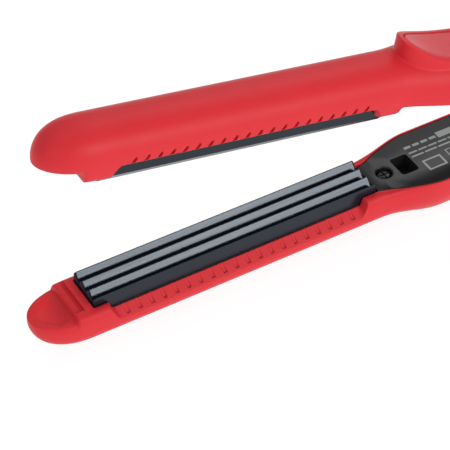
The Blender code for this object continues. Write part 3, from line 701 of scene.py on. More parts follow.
@dataclass
class Arm:
    """One arm's outline. Depth is the distance outwards from the crests of its own plate."""

    name: str
    body: Body
    place: Matrix
    crest: float
    outwards: int
    nose_rim: float
    handle_rim: float
    plate_depth: float
    handle_depth: float
    tail_depth: float
    tail_half: float
    floor: float
    end_x: float
    cavity_end: float
    screws: tuple[float, float]
    tab_rim: float
    nose_start: float = -1.0
    nose_length: float = 15.9
    flare_steps: int = 9
    nose_step: Span = (-6.3, -5.5)
    shoulder: float = 2.0
    lean: float = 1.1
    belly_steps: int = 22

    def z(self, depth: float) -> float:
        """Height of a depth."""
        return self.crest + self.outwards * depth

    def handle_share(self, x: float) -> float:
        """0 along the plate and 1 along the handle."""
        return ease(x, 91.0, 111.0)

    def nose_share(self, x: float) -> float:
        """1 along the arm, falling in a round curve to almost 0 at the nose tip."""
        reach = min(max((self.nose_start - x) / self.nose_length, 0.0), 0.9995)
        return math.sqrt(1.0 - reach**2.4)

    def wall(self, x: float) -> float:
        """Thickness of the shell."""
        return between(1.8, 2.4, self.handle_share(x))

    def widest(self, x: float) -> float:
        """Half the width of the shell."""
        width = between(9.2, 12.2, self.handle_share(x))
        return between(width, self.tail_half, ease(x, 182.0, 226.0)) * self.nose_share(x)

    def rim_half(self, x: float) -> float:
        """Half the width at the rim, where the sides lean in beside the plate."""
        lean = self.lean * ease(x, *self.nose_step) * (1.0 - ease(x, 90.5, 93.5))
        return self.seat_half(x) - lean

    def seat_half(self, x: float) -> float:
        """Half the width that the inner cover's seat follows."""
        return self.widest(x) - between(1.3, 0.2, self.handle_share(x)) * self.nose_share(x)

    def rim(self, x: float) -> float:
        """Depth of the rim."""
        nose = between(self.nose_rim, self.tab_rim, ease(x, *self.nose_step))
        return between(nose, self.handle_rim, ease(x, COVER_START, 93.0))

    def widest_depth(self, x: float) -> float:
        """Depth at which the shell is widest."""
        along = between(8.9, self.handle_rim + 2.8, self.handle_share(x))
        return between(self.nose_rim + 0.9, along, self.nose_share(x))

    def base(self, x: float) -> float:
        """Depth of the shell's back."""
        along = between(self.plate_depth, self.handle_depth, self.handle_share(x))
        along = between(along, self.tail_depth, ease(x, 165.0, 212.0))
        if self.outwards > 0 and x > HINGE.x:
            along = math.sqrt(HINGE.back_radius**2 - (x - HINGE.x) ** 2) + HINGE.z - self.crest
        return between(self.widest_depth(x) + 0.6, along, self.nose_share(x))

    def section(self, x: float, inset: float = 0.0, top: float | None = None) -> Ring:
        """The ring of points at x, from the near rim round the outside to the far rim.

        Args:
            x: The place along the arm.
            inset: How far inside the outer face the ring lies.
            top: The depth where the ring starts, or None for the rim.

        Returns:
            The ring.
        """
        rim = self.rim(x) if top is None else top
        wide_depth = max(self.widest_depth(x), rim + 0.5)
        half = self.widest(x) - inset
        base = self.base(x) - inset
        side = []
        for i in range(self.flare_steps):
            share = (i / self.flare_steps) ** 1.7
            depth = between(rim, wide_depth, share)
            rounded = 1.0 - min((depth - rim) / self.shoulder, 1.0)
            swell = 0.8 * math.sqrt(1.0 - rounded**2) + 0.2 * (1.0 - (1.0 - share) ** 2)
            side.append((between(self.rim_half(x) - inset, half, swell), depth))
        for i in range(self.belly_steps + 1):
            angle = i * math.pi / 2 / self.belly_steps
            depth = wide_depth + (base - wide_depth) * math.sin(angle) ** 0.9
            width = half * math.cos(angle) ** 0.9 if i < self.belly_steps else 0.0
            side.append((width, min(depth, self.floor - inset)))
        ring = [(x, -w, self.z(d)) for w, d in side]
        return ring + [(x, w, self.z(d)) for w, d in reversed(side[:-1])]

    def outer_z(self, x: float, y: float) -> float:
        """Height of the shell's outer face above or below a point of its plan."""
        share = min(abs(y) / self.widest(x), 1.0)
        angle = math.acos(share ** (1.0 / 0.9))
        wide = self.widest_depth(x)
        return self.z(wide + (self.base(x) - wide) * math.sin(angle) ** 0.9)

    def stations(self, start: float, end: float) -> list[float]:
        """Places along the arm, close together where its shape changes."""
        nose = [self.nose_start - self.nose_length * math.sin(a * math.pi / 48) for a in range(1, 25)]
        along = spaced(-0.5, 90.0, 31) + spaced(91.0, 112.0, 29) + spaced(114.0, 162.0, 13)
        along += spaced(164.0, 216.0, 35) + spaced(217.6, 233.0, 20) + spaced(-6.4, -5.4, 9)
        inside = {round(x, 3) for x in nose + along if start < x < end}
        return [start, *sorted(inside), end]

    def cover_half(self, x: float) -> float:
        """Half the width of the inner cover, whose front end is cut square."""
        return self.seat_half(x) - 0.7 - between(1.1, 0.0, ease(x, 92.6, 99.0))

    def cover_outline(self, margin: float, start: float, end: float) -> list[Span]:
        """The inner cover's plan, grown by a margin."""
        xs = [start, *[x for x in self.stations(93.0, 205.0) if 93.0 < x < 205.0], end]
        near = [(x, -(self.cover_half(x) + margin)) for x in xs]
        return near + [(x, -y) for x, y in reversed(near)]


def lower_arm() -> Arm:
    """The arm that lies on the table."""
    return Arm("lower", Body.LOWER, HINGE.work_place(), crest=0.0, outwards=-1, nose_rim=4.9, handle_rim=3.4,
               plate_depth=14.2, handle_depth=18.6, tail_depth=17.2, tail_half=9.6, floor=17.0, end_x=233.5,
               cavity_end=222.0, screws=(96.8, 196.0), tab_rim=3.0)


def upper_arm() -> Arm:
    """The arm that swings."""
    tail = HINGE.back_radius + HINGE.z - CLOSED_CREST
    return Arm("upper", Body.UPPER, HINGE.swung_place(), crest=CLOSED_CREST, outwards=1, nose_rim=7.0,
               handle_rim=5.7, plate_depth=17.6, handle_depth=18.4, tail_depth=tail, tail_half=10.4,
               floor=30.0, end_x=228.6, cavity_end=206.5, screws=(118.0, 196.0), tab_rim=3.5)


@dataclass
class Workshop:
    """Places finished pieces in the row frame, dresses them and puts them on their bodies."""

    materials: dict[Slot, bpy.types.Material]
    blackened: bpy.types.Material
    count: int = 0

    def settle(self, piece: bpy.types.Object, place: Matrix, body: Body, slot: Slot, *nodes: str,
               smooth: float = 32.0, material: bpy.types.Material | None = None) -> bpy.types.Object:
        """Finish one piece.

        Args:
            piece: The piece, in millimetres.
            place: The matrix to metres of the row frame.
            body: The body that carries it.
            slot: The record's slot of its finish.
            nodes: The CAD nodes that it stands for.
            smooth: Edges sharper than this angle in degrees stay crisp.
            material: A finish of its own, or None for the slot's.

        Returns:
            The piece.
        """
        piece.data.transform(place)
        piece.data.update()
        hold(piece)
        bpy.ops.object.shade_smooth_by_angle(angle=math.radians(smooth))
        piece.data.materials.clear()
        piece.data.materials.append(material or self.materials[slot])
        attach(piece, body.value)
        if nodes:
            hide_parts(*nodes)
        self.count += 1
        log.info("%s: %d faces on %s", piece.name, len(piece.data.polygons), body.value)
        return piece


# ---------------------------------------------------------------- shells


@dataclass
class CombEdge:
    """The lowered, chamfered edge beside the plate, with its row of leaning slots."""

    rim: float = 5.5
    slope: float = 0.9
    shoulder_y: float = 6.4
    tab_end: float = 3.9
    far_end: float = 85.8
    tab_slope: float = 1.3
    blend: float = 2.0
    reach: float = 12.0
    notch_count: int = 20
    notch_pitch: float = 3.8
    notch_width: float = 1.1
    mouth: Span = (-0.7, 0.7)
    notch_span: Span = (6.4, 8.5)
    notch_depths: Span = (0.12, 0.6)
    root_radius: float = 0.45
    lean: float = 0.1
    middle_x: float = 44.8

    def lowering_tool(self, arm: Arm) -> bpy.types.Object:
        """The shape that lowers the rim between the end tabs, blended more softly further out."""
        rings = []
        near = spaced(self.tab_end - self.blend, self.tab_end + self.tab_slope + self.blend, 15)
        middle = (self.tab_end + self.far_end) / 2
        for x in [*near, *[2 * middle - x for x in reversed(near)]]:
            along = min(x, 2 * middle - x)
            side = []
            for y, spread in ((self.shoulder_y, 0.0), (self.shoulder_y + 1.2, 0.5), (self.reach, 1.0)):
                soft = self.blend * spread
                share = ease(along, self.tab_end - soft, self.tab_end + self.tab_slope + soft)
                low = self.rim + (y - self.shoulder_y) * self.slope
                side.append((y, arm.z(between(arm.tab_rim - 0.2, low, share))))
            over = arm.z(-2.0)
            rings.append([(x, -self.reach, over), *[(x, -y, z) for y, z in reversed(side)],
                          *[(x, y, z) for y, z in side], (x, self.reach, over)])
        return wrap("lowering_tool", rings)

    def notch_tool(self, arm: Arm) -> bpy.types.Object:
        """One slot's shape, leaned over and repeated along both sides."""
        start = self.middle_x - (self.notch_count - 1) / 2 * self.notch_pitch
        half = self.notch_width / 2
        inner, outer = self.notch_span
        above = arm.z(self.rim - 0.4)
        deep = arm.z(self.rim + 2.6)
        tool = brick("notch_tool", (start - half, start + half), (-outer, -inner), (above, deep))
        bevel_chosen(tool, self.root_radius, 3,
                     lambda a, b: max(abs(a.z - deep), abs(b.z - deep)) < 0.01 and abs(a.y - b.y) > 1.0)
        for vertex in tool.data.vertices:
            if abs(vertex.co.z - deep) < 1.0:
                share = (-vertex.co.y - inner) / (outer - inner)
                surface = self.rim + (-vertex.co.y - self.shoulder_y) * self.slope
                depth = surface + between(*self.notch_depths, share)
                vertex.co.z += arm.z(depth) - deep
                vertex.co.x += self.lean * (depth - self.rim)
            else:
                vertex.co.x = start + self.mouth[vertex.co.x > start]
        repeat(tool, self.notch_count, (self.notch_pitch, 0.0, 0.0))
        mirror_across(tool)
        return tool


def deep_comb() -> CombEdge:
    """The upper arm's comb edge, whose slots open through the rim."""
    return CombEdge(tab_end=1.5, notch_width=0.9, mouth=(-2.3, 0.3), notch_span=(5.9, 9.9),
                    notch_depths=(2.1, 1.7), lean=0.35, middle_x=42.7)


@dataclass
class NoseFace:
    """The scooped finger face, its stepped ledges and the cross groove inside the nose."""

    dish_x: float = -10.3
    dish_length: float = 4.9
    dish_half: float = 6.6
    dish_steps: tuple[Span, ...] = ((1.06, -0.3), (1.0, 0.0), (0.95, 0.14), (0.86, 0.44), (0.74, 0.76),
                                    (0.58, 1.02), (0.38, 1.18), (0.16, 1.25))
    groove: Span = (-3.5, -2.7)
    ledge_end: float = -5.4
    ledge_span: Span = (-5.6, 9.5)
    ledge_drop: float = 0.9

    def dish_tool(self, arm: Arm) -> bpy.types.Object:
        """A shallow bowl whose plan follows the nose."""
        rings = []
        for share, drop in self.dish_steps:
            ring = []
            for cos, sin, _ in arc(0.0, 352.5, 48):
                reach = abs(cos) ** 0.8 * math.copysign(1.0, cos)
                limit = arm.seat_half(self.dish_x + self.dish_length * reach * share) - 0.9
                half = min(self.dish_half, max(limit, 1.0))
                ring.append((self.dish_x + self.dish_length * share * reach, half * share * sin,
                             arm.z(arm.nose_rim + drop)))
            rings.append(ring)
        return wrap("dish_tool", rings)

    def carve(self, arm: Arm, shell: bpy.types.Object) -> None:
        """Cut the nose's inner details."""
        combine(shell, self.dish_tool(arm))
        low = arm.z(arm.tab_rim + 1.0)
        combine(shell, brick("groove_tool", self.groove, self.ledge_span, (arm.z(-1.0), low)))
        ledge = brick("ledge_tool", (self.ledge_end, self.groove[0] + 0.1), self.ledge_span,
                      (arm.z(-1.0), arm.z(arm.tab_rim + self.ledge_drop)))
        combine(shell, ledge)


@dataclass
class Shell:
    """One arm's red outer shell, hollow, with its plate well, cover seat and screw posts."""

    arm: Arm
    comb: CombEdge = field(default_factory=CombEdge)
    nose: NoseFace = field(default_factory=NoseFace)

    def outer_form(self) -> bpy.types.Object:
        """The shell's solid outer form."""
        arm = self.arm
        return wrap(arm.name + "_shell_skin", [arm.section(x) for x in arm.stations(-16.88, arm.end_x)])

    def hollow(self, shell: bpy.types.Object) -> None:
        """Cut the cavity, the plate well, the cover seat, the comb edge and the nose face."""
        arm = self.arm
        seat = arm.handle_rim + COVER_THICKNESS + GAP
        inner = []
        for x in arm.stations(2.0, arm.cavity_end):
            top = max(arm.rim(x), seat) + 1.8 * (1 - arm.handle_share(x))
            inner.append(arm.section(x, arm.wall(x), top))
        combine(shell, wrap("cavity_tool", inner))
        well = PLATE_HALF + GAP
        combine(shell, brick("well_tool", (-GAP, 94.6), (-well, well), (arm.z(-2.0), arm.z(12.0))))
        outline = arm.cover_outline(GAP, COVER_START - GAP, COVER_END + GAP)
        levels = (arm.z(-2.0), arm.z(seat))
        combine(shell, wrap("seat_tool", [[(x, y, z) for x, y in outline] for z in levels]))
        combine(shell, self.comb.lowering_tool(arm))
        combine(shell, self.comb.notch_tool(arm))
        self.nose.carve(arm, shell)

    def posts(self, shell: bpy.types.Object, floor_cap: float) -> None:
        """Add the screw posts with their pilot holes.

        Args:
            shell: The shell.
            floor_cap: The greatest depth a post may reach.
        """
        arm = self.arm
        top = arm.handle_rim + COVER_THICKNESS + 2 * GAP
        for x in arm.screws:
            floor = min(arm.base(x), arm.floor, floor_cap) - arm.wall(x) / 2
            combine(shell, bar("post", (x, 0, arm.z(top)), (x, 0, arm.z(floor)), 3.0, 32), Join.ADD)
            combine(shell, bar("pilot", (x, 0, arm.z(top - 1.0)), (x, 0, arm.z(top + 6.0)), 1.5, 24))


@dataclass
class LowerShell(Shell):
    """The lower shell, with the hinge lugs and the cord gland's seat."""

    lug_inner: float = 3.9
    lug_outer: float = 6.9
    gland_depth: float = GLAND_DEPTH

    def lug(self, side: int) -> bpy.types.Object:
        """A round-topped lug standing on the shell's floor."""
        radius = HINGE.knuckle_radius
        rings = []
        for y, foot in ((self.lug_inner, 15.8), (self.lug_outer, 13.4)):
            low = self.arm.z(foot)
            top = [(HINGE.x + radius * c, side * y, HINGE.z + radius * s) for c, s, _ in arc(0.0, 180.0, 32)]
            rings.append([(HINGE.x + radius, side * y, low), *top, (HINGE.x - radius, side * y, low)])
        return wrap("lug", rings)

    def build(self, shop: Workshop) -> None:
        """Model the shell and put it in place."""
        arm = self.arm
        shell = self.outer_form()
        self.hollow(shell)
        x, z = HINGE.x, HINGE.z
        combine(shell, brick("pocket_room", (99.9, 107.7), (-4.9, 4.9), (arm.z(5.0), arm.z(9.6))))
        combine(shell, bar("drum_room", (x, -16, z), (x, 16, z), HINGE.drum_radius + 0.5, 96))
        for side in (-1, 1):
            combine(shell, self.lug(side), Join.ADD)
        combine(shell, bar("pin_bore", (x, -9, z), (x, 9, z), HINGE.pin_radius + GAP))
        axis = arm.z(self.gland_depth)
        combine(shell, bar("gland_room", (221.0, 0, axis), (230.0, 0, axis), 5.5))
        combine(shell, bar("gland_bore", (225.0, 0, axis), (240.0, 0, axis), 4.2))
        self.posts(shell, arm.floor)
        shop.settle(shell, arm.place, arm.body, Slot.RED_SHELL, "lower_shell")


@dataclass
class ThumbRest:
    """The raised oval thumb rest: a walled island with a rounded crest, and its inset panel."""

    centre: float = 110.2
    half_length: float = 16.3
    half_width: float = 8.5
    roundness: float = 2.12
    low_x: float = 115.1
    low_z: float = 15.17
    rise: float = 0.014
    border: float = 1.9
    crest_radius: float = 0.5
    foot_radius: float = 0.45
    underside: float = 11.0
    pocket: float = 1.7
    points: int = 144
    inner_insets: tuple[float, ...] = (2.8, 3.4, 4.2, 5.4, 6.8, 8.5)

    def top(self, x: float) -> float:
        """Height of the scooped top: high at the front, low in the middle, flush behind."""
        if x < self.low_x:
            return self.low_z + self.rise * (x - self.low_x) ** 2
        return between(self.low_z, 16.5, ease(x, self.low_x, self.centre + self.half_length))

    def plan(self, inset: float) -> list[Span]:
        """The oval's outline, inset by a distance."""
        power = 2.0 / self.roundness
        outline = []
        for cos, sin, _ in arc(0.0, 360.0 - 360.0 / self.points, self.points):
            x = math.copysign(abs(cos) ** power, cos) * (self.half_length - inset)
            y = math.copysign(abs(sin) ** power, sin) * (self.half_width - inset)
            outline.append((self.centre + x, y))
        return outline

    def level(self, inset: float, drop: float) -> Ring:
        """A ring at a drop below the scooped top."""
        return [(x, y, self.top(x) - drop) for x, y in self.plan(inset)]

    def foot_ring(self, arm: Arm, out: float, rise: float) -> Ring:
        """A ring of the foot's fillet, a rise above the shell's outer face."""
        return [(x, y, min(arm.outer_z(x, y) + rise, self.top(x) - 0.6)) for x, y in self.plan(-out)]

    def island(self, arm: Arm) -> bpy.types.Object:
        """The solid wall with its filleted foot and its rounded, outward-leaning crest."""
        rings = [[(x, y, self.underside) for x, y in self.plan(0.3)]]
        rings.append(self.foot_ring(arm, self.foot_radius, -0.3))
        for cos, sin, _ in arc(0.0, 90.0, 5):
            rings.append(self.foot_ring(arm, self.foot_radius * (1.0 - sin), self.foot_radius * (1.0 - cos)))
        radius = self.crest_radius
        for cos, sin, _ in arc(0.0, 70.0, 6):
            rings.append(self.level(radius * (1.0 - cos), 0.35 + radius * (1.0 - sin)))
        for inset, drop in ((1.2, 0.16), (1.5, 0.04), (1.7, 0.0), (self.border + 0.2, 0.0)):
            rings.append(self.level(inset, drop))
        return wrap("island", rings)

    def pocket_tool(self) -> bpy.types.Object:
        """The recess for the panel, open above, with a small lead-in at the lip."""
        border = self.border
        levels = [(inset, self.pocket) for inset in reversed(self.inner_insets)]
        levels += [(border, self.pocket), (border, 0.22), (border - 0.16, 0.04), (border - 0.2, -6.0)]
        return wrap("pad_pocket", [self.level(inset, drop) for inset, drop in levels])

    def build_panel(self, shop: Workshop, arm: Arm) -> None:
        """Model the inset panel, slightly crowned, with a rounded edge."""
        inset = self.border + 0.45
        rings = [self.level(inner, 1.2) for inner in reversed(self.inner_insets)]
        rings += [self.level(inset, 1.2), self.level(inset, 0.3), self.level(inset + 0.1, 0.1)]
        rings += [self.level(inner, 0.0) for inner in self.inner_insets]
        panel = wrap("thumb_rest_pad", rings)
        shop.settle(panel, arm.place, arm.body, Slot.RED_PANEL, "thumb_rest_panel", smooth=40.0)


@dataclass
class UpperShell(Shell):
    """The upper shell, with the hinge drum, the thumb rest and the switch and lamp openings."""

    rest: ThumbRest = field(default_factory=ThumbRest)
    switch_x: float = SWITCH_X
    switch_travel: float = 4.0
    lamp_x: float = LAMP_X

    def build(self, shop: Workshop) -> None:
        """Model the shell and put it in place."""
        arm = self.arm
        shell = self.outer_form()
        self.hollow(shell)
        x, z = HINGE.x, HINGE.z
        half = HINGE.drum_half
        slot = HINGE.slot_half
        combine(shell, bar("drum", (x, -half, z), (x, half, z), HINGE.drum_radius, 96), Join.ADD)
        combine(shell, self.rest.island(arm), Join.ADD)
        combine(shell, self.rest.pocket_tool())
        combine(shell, bar("knuckle_room", (x, -slot, z), (x, slot, z), HINGE.knuckle_radius + 0.6, 96))
        combine(shell, brick("slot_tool", (x - 7.8, x + 12.0), (-slot, slot), (z - 14.0, z)))
        combine(shell, bar("pin_bore", (x, -12, z), (x, 12, z), HINGE.pin_radius + GAP))
        for side in (-1, 1):
            combine(shell, bar("cap_seat", (x, side * 8.9, z), (x, side * 12, z), 3.6))
        top = arm.z(arm.handle_depth)
        reach = (self.switch_x - 6.0, self.switch_x + 6.0 + self.switch_travel)
        combine(shell, brick("switch_window", reach, (-2.3, 2.3), (top - 4, top + 4)))
        combine(shell, bar("lamp_hole", (self.lamp_x, 0, top - 4), (self.lamp_x, 0, top + 4), 2.0))
        self.posts(shell, self.rest.underside - arm.crest + 2.2)
        shop.settle(shell, arm.place, arm.body, Slot.RED_SHELL, "upper_shell")


# ---------------------------------------------------------------- plates


@dataclass
class CrimpPlate:
    """A plate with V-shaped grooves along it, softened crests and chamfered ends."""

    arm: Arm
    length: float = PLATE_LENGTH
    half: float = PLATE_HALF
    pitch: float = 4.0
    groove: float = 2.6
    depth: float = 5.2
    crest_flat: float = 0.16
    nose_chamfer: float = 0.7
    hinge_chamfers: Span = (0.5, 1.3)

    def ridge_line(self) -> list[Span]:
        """(width, depth) points across the grooves, with a narrow flat on every crest and valley."""
        lower = self.arm.outwards < 0
        steps = int(2 * self.half / (self.pitch / 2))
        line = []
        for i in range(steps + 1):
            y = -self.half + i * self.pitch / 2
            depth = self.groove if (i % 2 == 1) == lower else 0.0
            lift = self.crest_flat * self.groove / (self.pitch / 2)
            near_depth = depth + lift if depth == 0.0 else depth - lift
            if i > 0:
                line.append((y - self.crest_flat, near_depth))
            line.append((y, between(depth, near_depth, 0.45)))
            if i < steps:
                line.append((y + self.crest_flat, near_depth))
        return line

    def build(self, shop: Workshop) -> None:
        """Model the plate and put it in place."""
        arm = self.arm
        line = self.ridge_line()
        steps = ((0.0, 1.0), (0.3, 0.3), (1.0, 0.0))
        rows = [(self.nose_chamfer * along, self.nose_chamfer * drop) for along, drop in steps]
        rows += [(x, 0.0) for x in spaced(6.0, self.length - 6.0, 12)]
        chamfer = self.hinge_chamfers[arm.outwards > 0]
        rows += [(self.length - chamfer * along, chamfer * drop) for along, drop in reversed(steps)]
        rings = []
        for x, drop in rows:
            ring = [(x, y, arm.z(depth + drop)) for y, depth in line]
            ring += [(x, self.half, arm.z(self.depth)), (x, -self.half, arm.z(self.depth))]
            rings.append(ring)
        plate = wrap(arm.name + "_ridged_plate", rings)
        channel = brick("channel", (1.4, self.length - 1.4), (-self.half + 1.2, self.half - 1.2),
                        (arm.z(3.8), arm.z(self.depth + 1.0)))
        combine(plate, channel)
        shop.settle(plate, arm.place, arm.body, Slot.PLATE, arm.name + "_crimp_plate", smooth=12.0)


# ---------------------------------------------------------------- covers and screws


@dataclass
class InnerCover:
    """An arm's flat inner cover with a bevelled edge and its screw holes."""

    arm: Arm
    start: float = COVER_START
    lip: float = 1.3
    end: float = COVER_END
    thickness: float = COVER_THICKNESS
    edge: float = 0.3

    def slab(self) -> bpy.types.Object:
        """The cover's bevelled slab."""
        arm = self.arm
        edge = self.edge
        levels = ((edge, 0.0, 1.0), (edge * 0.3, edge * 0.3, 0.8), (0.0, edge * 2.0, 0.1),
                  (0.0, self.lip, 0.0), (0.0, self.thickness, 0.0))
        rings = []
        for inset, drop, share in levels:
            outline = arm.cover_outline(-inset, self.start + self.lip * share, self.end - inset)
            rings.append([(x, y, arm.z(arm.handle_rim + drop)) for x, y in outline])
        return wrap(arm.name + "_cover_slab", rings)

    def drill(self, cover: bpy.types.Object) -> None:
        """Cut the screw holes, each with a small lead-in."""
        arm = self.arm
        face = arm.handle_rim
        for x in arm.screws:
            profile = [(face - 1.0, 0.0), (face - 1.0, 2.8), (face, 2.8), (face + 0.3, 2.5),
                       (face + 4.0, 2.5), (face + 4.0, 0.0)]
            combine(cover, turned("hole_tool", profile, (x, 0.0, arm.crest), (0, 0, arm.outwards), 48))

    def finish(self, cover: bpy.types.Object, shop: Workshop, material: bpy.types.Material | None) -> None:
        """Put the cover in place."""
        arm = self.arm
        node = arm.name + "_inner_cover"
        shop.settle(cover, arm.place, arm.body, Slot.COVER_GREY, node, smooth=25.0, material=material)


@dataclass
class LowerCover(InnerCover):
    """The lower inner cover, with the pocket that the upper cover's peg enters."""

    corner: float = 0.9

    def pocket_tool(self) -> bpy.types.Object:
        """A rounded pocket with a sloped wall towards the nose."""
        arm = self.arm
        openings = ((100.4, 106.6, -1.0), (101.4, 106.5, 1.0), (102.3, 106.3, 2.6), (102.4, 106.3, 5.0))
        rings = []
        for low, high, drop in openings:
            z = arm.z(arm.handle_rim + drop)
            rings.append([(low, -3.8, z), (high, -3.8, z), (high, 3.8, z), (low, 3.8, z)])
        tool = wrap("pocket_tool", rings)
        bevel_chosen(tool, self.corner, 4, lambda a, b: abs(a.z - b.z) > 0.5 and abs(a.y - b.y) < 0.1)
        return tool

    def build(self, shop: Workshop) -> None:
        """Model the cover and put it in place."""
        cover = self.slab()
        face = self.arm.handle_rim
        depths = (self.arm.z(face + 1.5), self.arm.z(face + 5.8))
        combine(cover, brick("pocket_box", (100.2, 107.4), (-4.6, 4.6), depths), Join.ADD)
        self.drill(cover)
        combine(cover, self.pocket_tool())
        origin = tuple(self.arm.place.translation)
        printed = PrintedCover("printed_cover_plastic", *COVER_TONES, origin=origin)
        self.finish(cover, shop, printed.build())


@dataclass
class UpperCover(InnerCover):
    """The upper inner cover, with its alignment peg."""

    peg_x: float = 104.3
    peg_y: float = 2.0

    def peg(self, shop: Workshop) -> None:
        """Model the tapered peg, with rounded corners, and put it in place."""
        arm = self.arm
        face = arm.z(arm.handle_rim) - GAP
        tip = arm.z(arm.handle_rim) - 7.2
        rings = []
        x = self.peg_x
        y = self.peg_y
        for a, b, z in ((1.0, 0.9, tip), (1.4, 1.3, tip + 1.4), (1.6, 1.4, face)):
            rings.append([(x - a, y - b, z), (x + a, y - b, z), (x + a, y + b, z), (x - a, y + b, z)])
        piece = wrap("cover_peg", rings)
        soften(piece, 0.3, 3, 40.0)
        shop.settle(piece, arm.place, arm.body, Slot.COVER_GREY, "alignment_peg")

    def build(self, shop: Workshop) -> None:
        """Model the cover and the peg and put them in place."""
        cover = self.slab()
        self.drill(cover)
        self.finish(cover, shop, None)
        self.peg(shop)


@dataclass
class CoverScrew:
    """A pan-head screw with a cross recess, sunk in its hole."""

    arm: Arm
    number: int
    blade: float = 0.42
    blade_reach: float = 1.35
    blade_depth: float = 0.8

    def build(self, shop: Workshop) -> None:
        """Model the screw and put it in place."""
        arm = self.arm
        x = arm.screws[self.number - 1]
        head = arm.handle_rim + 0.7
        steps = ((0.0, 0.0), (0.0, 1.3), (0.12, 1.75), (0.4, 2.05), (0.6, 2.1), (1.1, 2.1), (1.1, 1.2),
                 (6.0, 1.2), (6.4, 0.8), (6.4, 0.0))
        profile = [(head + along, radius) for along, radius in steps]
        name = f"{arm.name}_screw_{self.number}"
        screw = turned(name, profile, (x, 0.0, arm.crest), (0, 0, arm.outwards), 48)
        deep = (arm.z(head - 0.5), arm.z(head + self.blade_depth))
        for along, across in ((self.blade_reach, self.blade / 2), (self.blade / 2, self.blade_reach)):
            tool = brick("blade", (x - along, x + along), (-across, across), deep)
            combine(screw, tool)
        node = f"{arm.name}_cover_screw_{self.number}"
        shop.settle(screw, arm.place, arm.body, Slot.STEEL, node, material=shop.blackened)


# ---------------------------------------------------------------- switch, lamp, hinge and gland


@dataclass
class PowerSwitch:
    """The sliding power button: a ridged pad on a neck and a foot."""

    arm: Arm
    x: float = SWITCH_X
    rib_count: int = 5
    rib_pitch: float = 1.5

    def build(self, shop: Workshop) -> None:
        """Model the slider and put it in place."""
        top = self.arm.z(self.arm.handle_depth)
        x = self.x
        pad = brick("power_slider", (x - 4.0, x + 4.0), (-3.4, 3.4), (top + 0.4, top + 1.5))
        soften(pad, 0.3)
        combine(pad, brick("neck", (x - 3.0, x + 3.0), (-1.9, 1.9), (top - 4.0, top + 1.0)), Join.ADD)
        combine(pad, brick("foot", (x - 4.5, x + 4.5), (-3.4, 3.4), (top - 4.8, top - 3.8)), Join.ADD)
        middle = x - (self.rib_count - 1) / 2 * self.rib_pitch
        rib = brick("rib", (middle - 0.35, middle + 0.35), (-3.0, 3.0), (top + 1.2, top + 2.1))
        soften(rib, 0.25)
        repeat(rib, self.rib_count, (self.rib_pitch, 0.0, 0.0))
        combine(pad, rib, Join.ADD)
        shop.settle(pad, self.arm.place, Body.SWITCH, Slot.BLACK, "switch_slider")


@dataclass
class IndicatorLens:
    """The domed lamp lens in the upper handle."""

    arm: Arm
    x: float = LAMP_X

    def build(self, shop: Workshop) -> None:
        """Model the lens and put it in place."""
        top = self.arm.handle_depth
        profile = [(top - 3.9, 0.0), (top - 3.9, 1.7), (top, 1.7)]
        profile += [(top + 0.6 * s, 1.7 * c) for c, s, _ in arc(10.0, 90.0, 8)]
        lens = turned("lamp_lens", profile, (self.x, 0.0, self.arm.crest), (0, 0, 1))
        shop.settle(lens, self.arm.place, self.arm.body, Slot.LENS, "indicator_lens")


@dataclass
class HingeCaps:
    """The two dished caps over the ends of the hinge pin."""

    arm: Arm

    def build(self, shop: Workshop) -> None:
        """Model both caps and put them in place."""
        for side, tag in ((-1, "near"), (1, "far")):
            profile = [(9.2, 0.0), (9.2, 3.3), (10.6, 3.3), (10.85, 3.2), (11.05, 2.9), (11.1, 2.6),
                       (11.05, 2.3), (10.85, 2.0), (10.8, 0.0)]
            cap = turned(f"hinge_cover_{tag}", profile, (HINGE.x, 0.0, HINGE.z), (0, side, 0))
            shop.settle(cap, self.arm.place, self.arm.body, Slot.RED_SHELL, f"hinge_cap_{tag}")


@dataclass
class CordGland:
    """The swivelling gland: a flange inside the rear wall, a neck through it and a ribbed collar."""

    arm: Arm
    wall_x: float = 230.0
    depth: float = GLAND_DEPTH
    rib_count: int = 3
    rib_pitch: float = 2.4

    def build(self, shop: Workshop) -> None:
        """Model the gland and put it in place."""
        profile = [(-3.0, 2.4), (-3.0, 4.9), (-2.8, 5.1), (-0.6, 5.1), (-0.4, 4.9), (-0.4, 3.8), (3.9, 3.8),
                   (3.9, 5.7), (4.2, 6.0), (5.9, 6.0), (6.2, 5.7)]
        for i in range(self.rib_count):
            start = 6.2 + i * self.rib_pitch
            radius = 5.4 - 0.4 * i
            profile += [(start, radius - 0.7), (start + 1.0, radius - 0.7), (start + 1.0, radius - 0.2),
                        (start + 1.2, radius), (start + 2.2, radius), (start + 2.4, radius - 0.2)]
        profile += [(13.4, 2.6), (13.2, 2.4), (-3.0, 2.4)]
        centre = (self.wall_x, 0.0, self.arm.z(self.depth))
        gland = turned("swivel_collar", profile, centre, (1, 0, 0))
        shop.settle(gland, self.arm.place, Body.GLAND, Slot.BLACK, "cord_gland")


# ---------------------------------------------------------------- inner parts


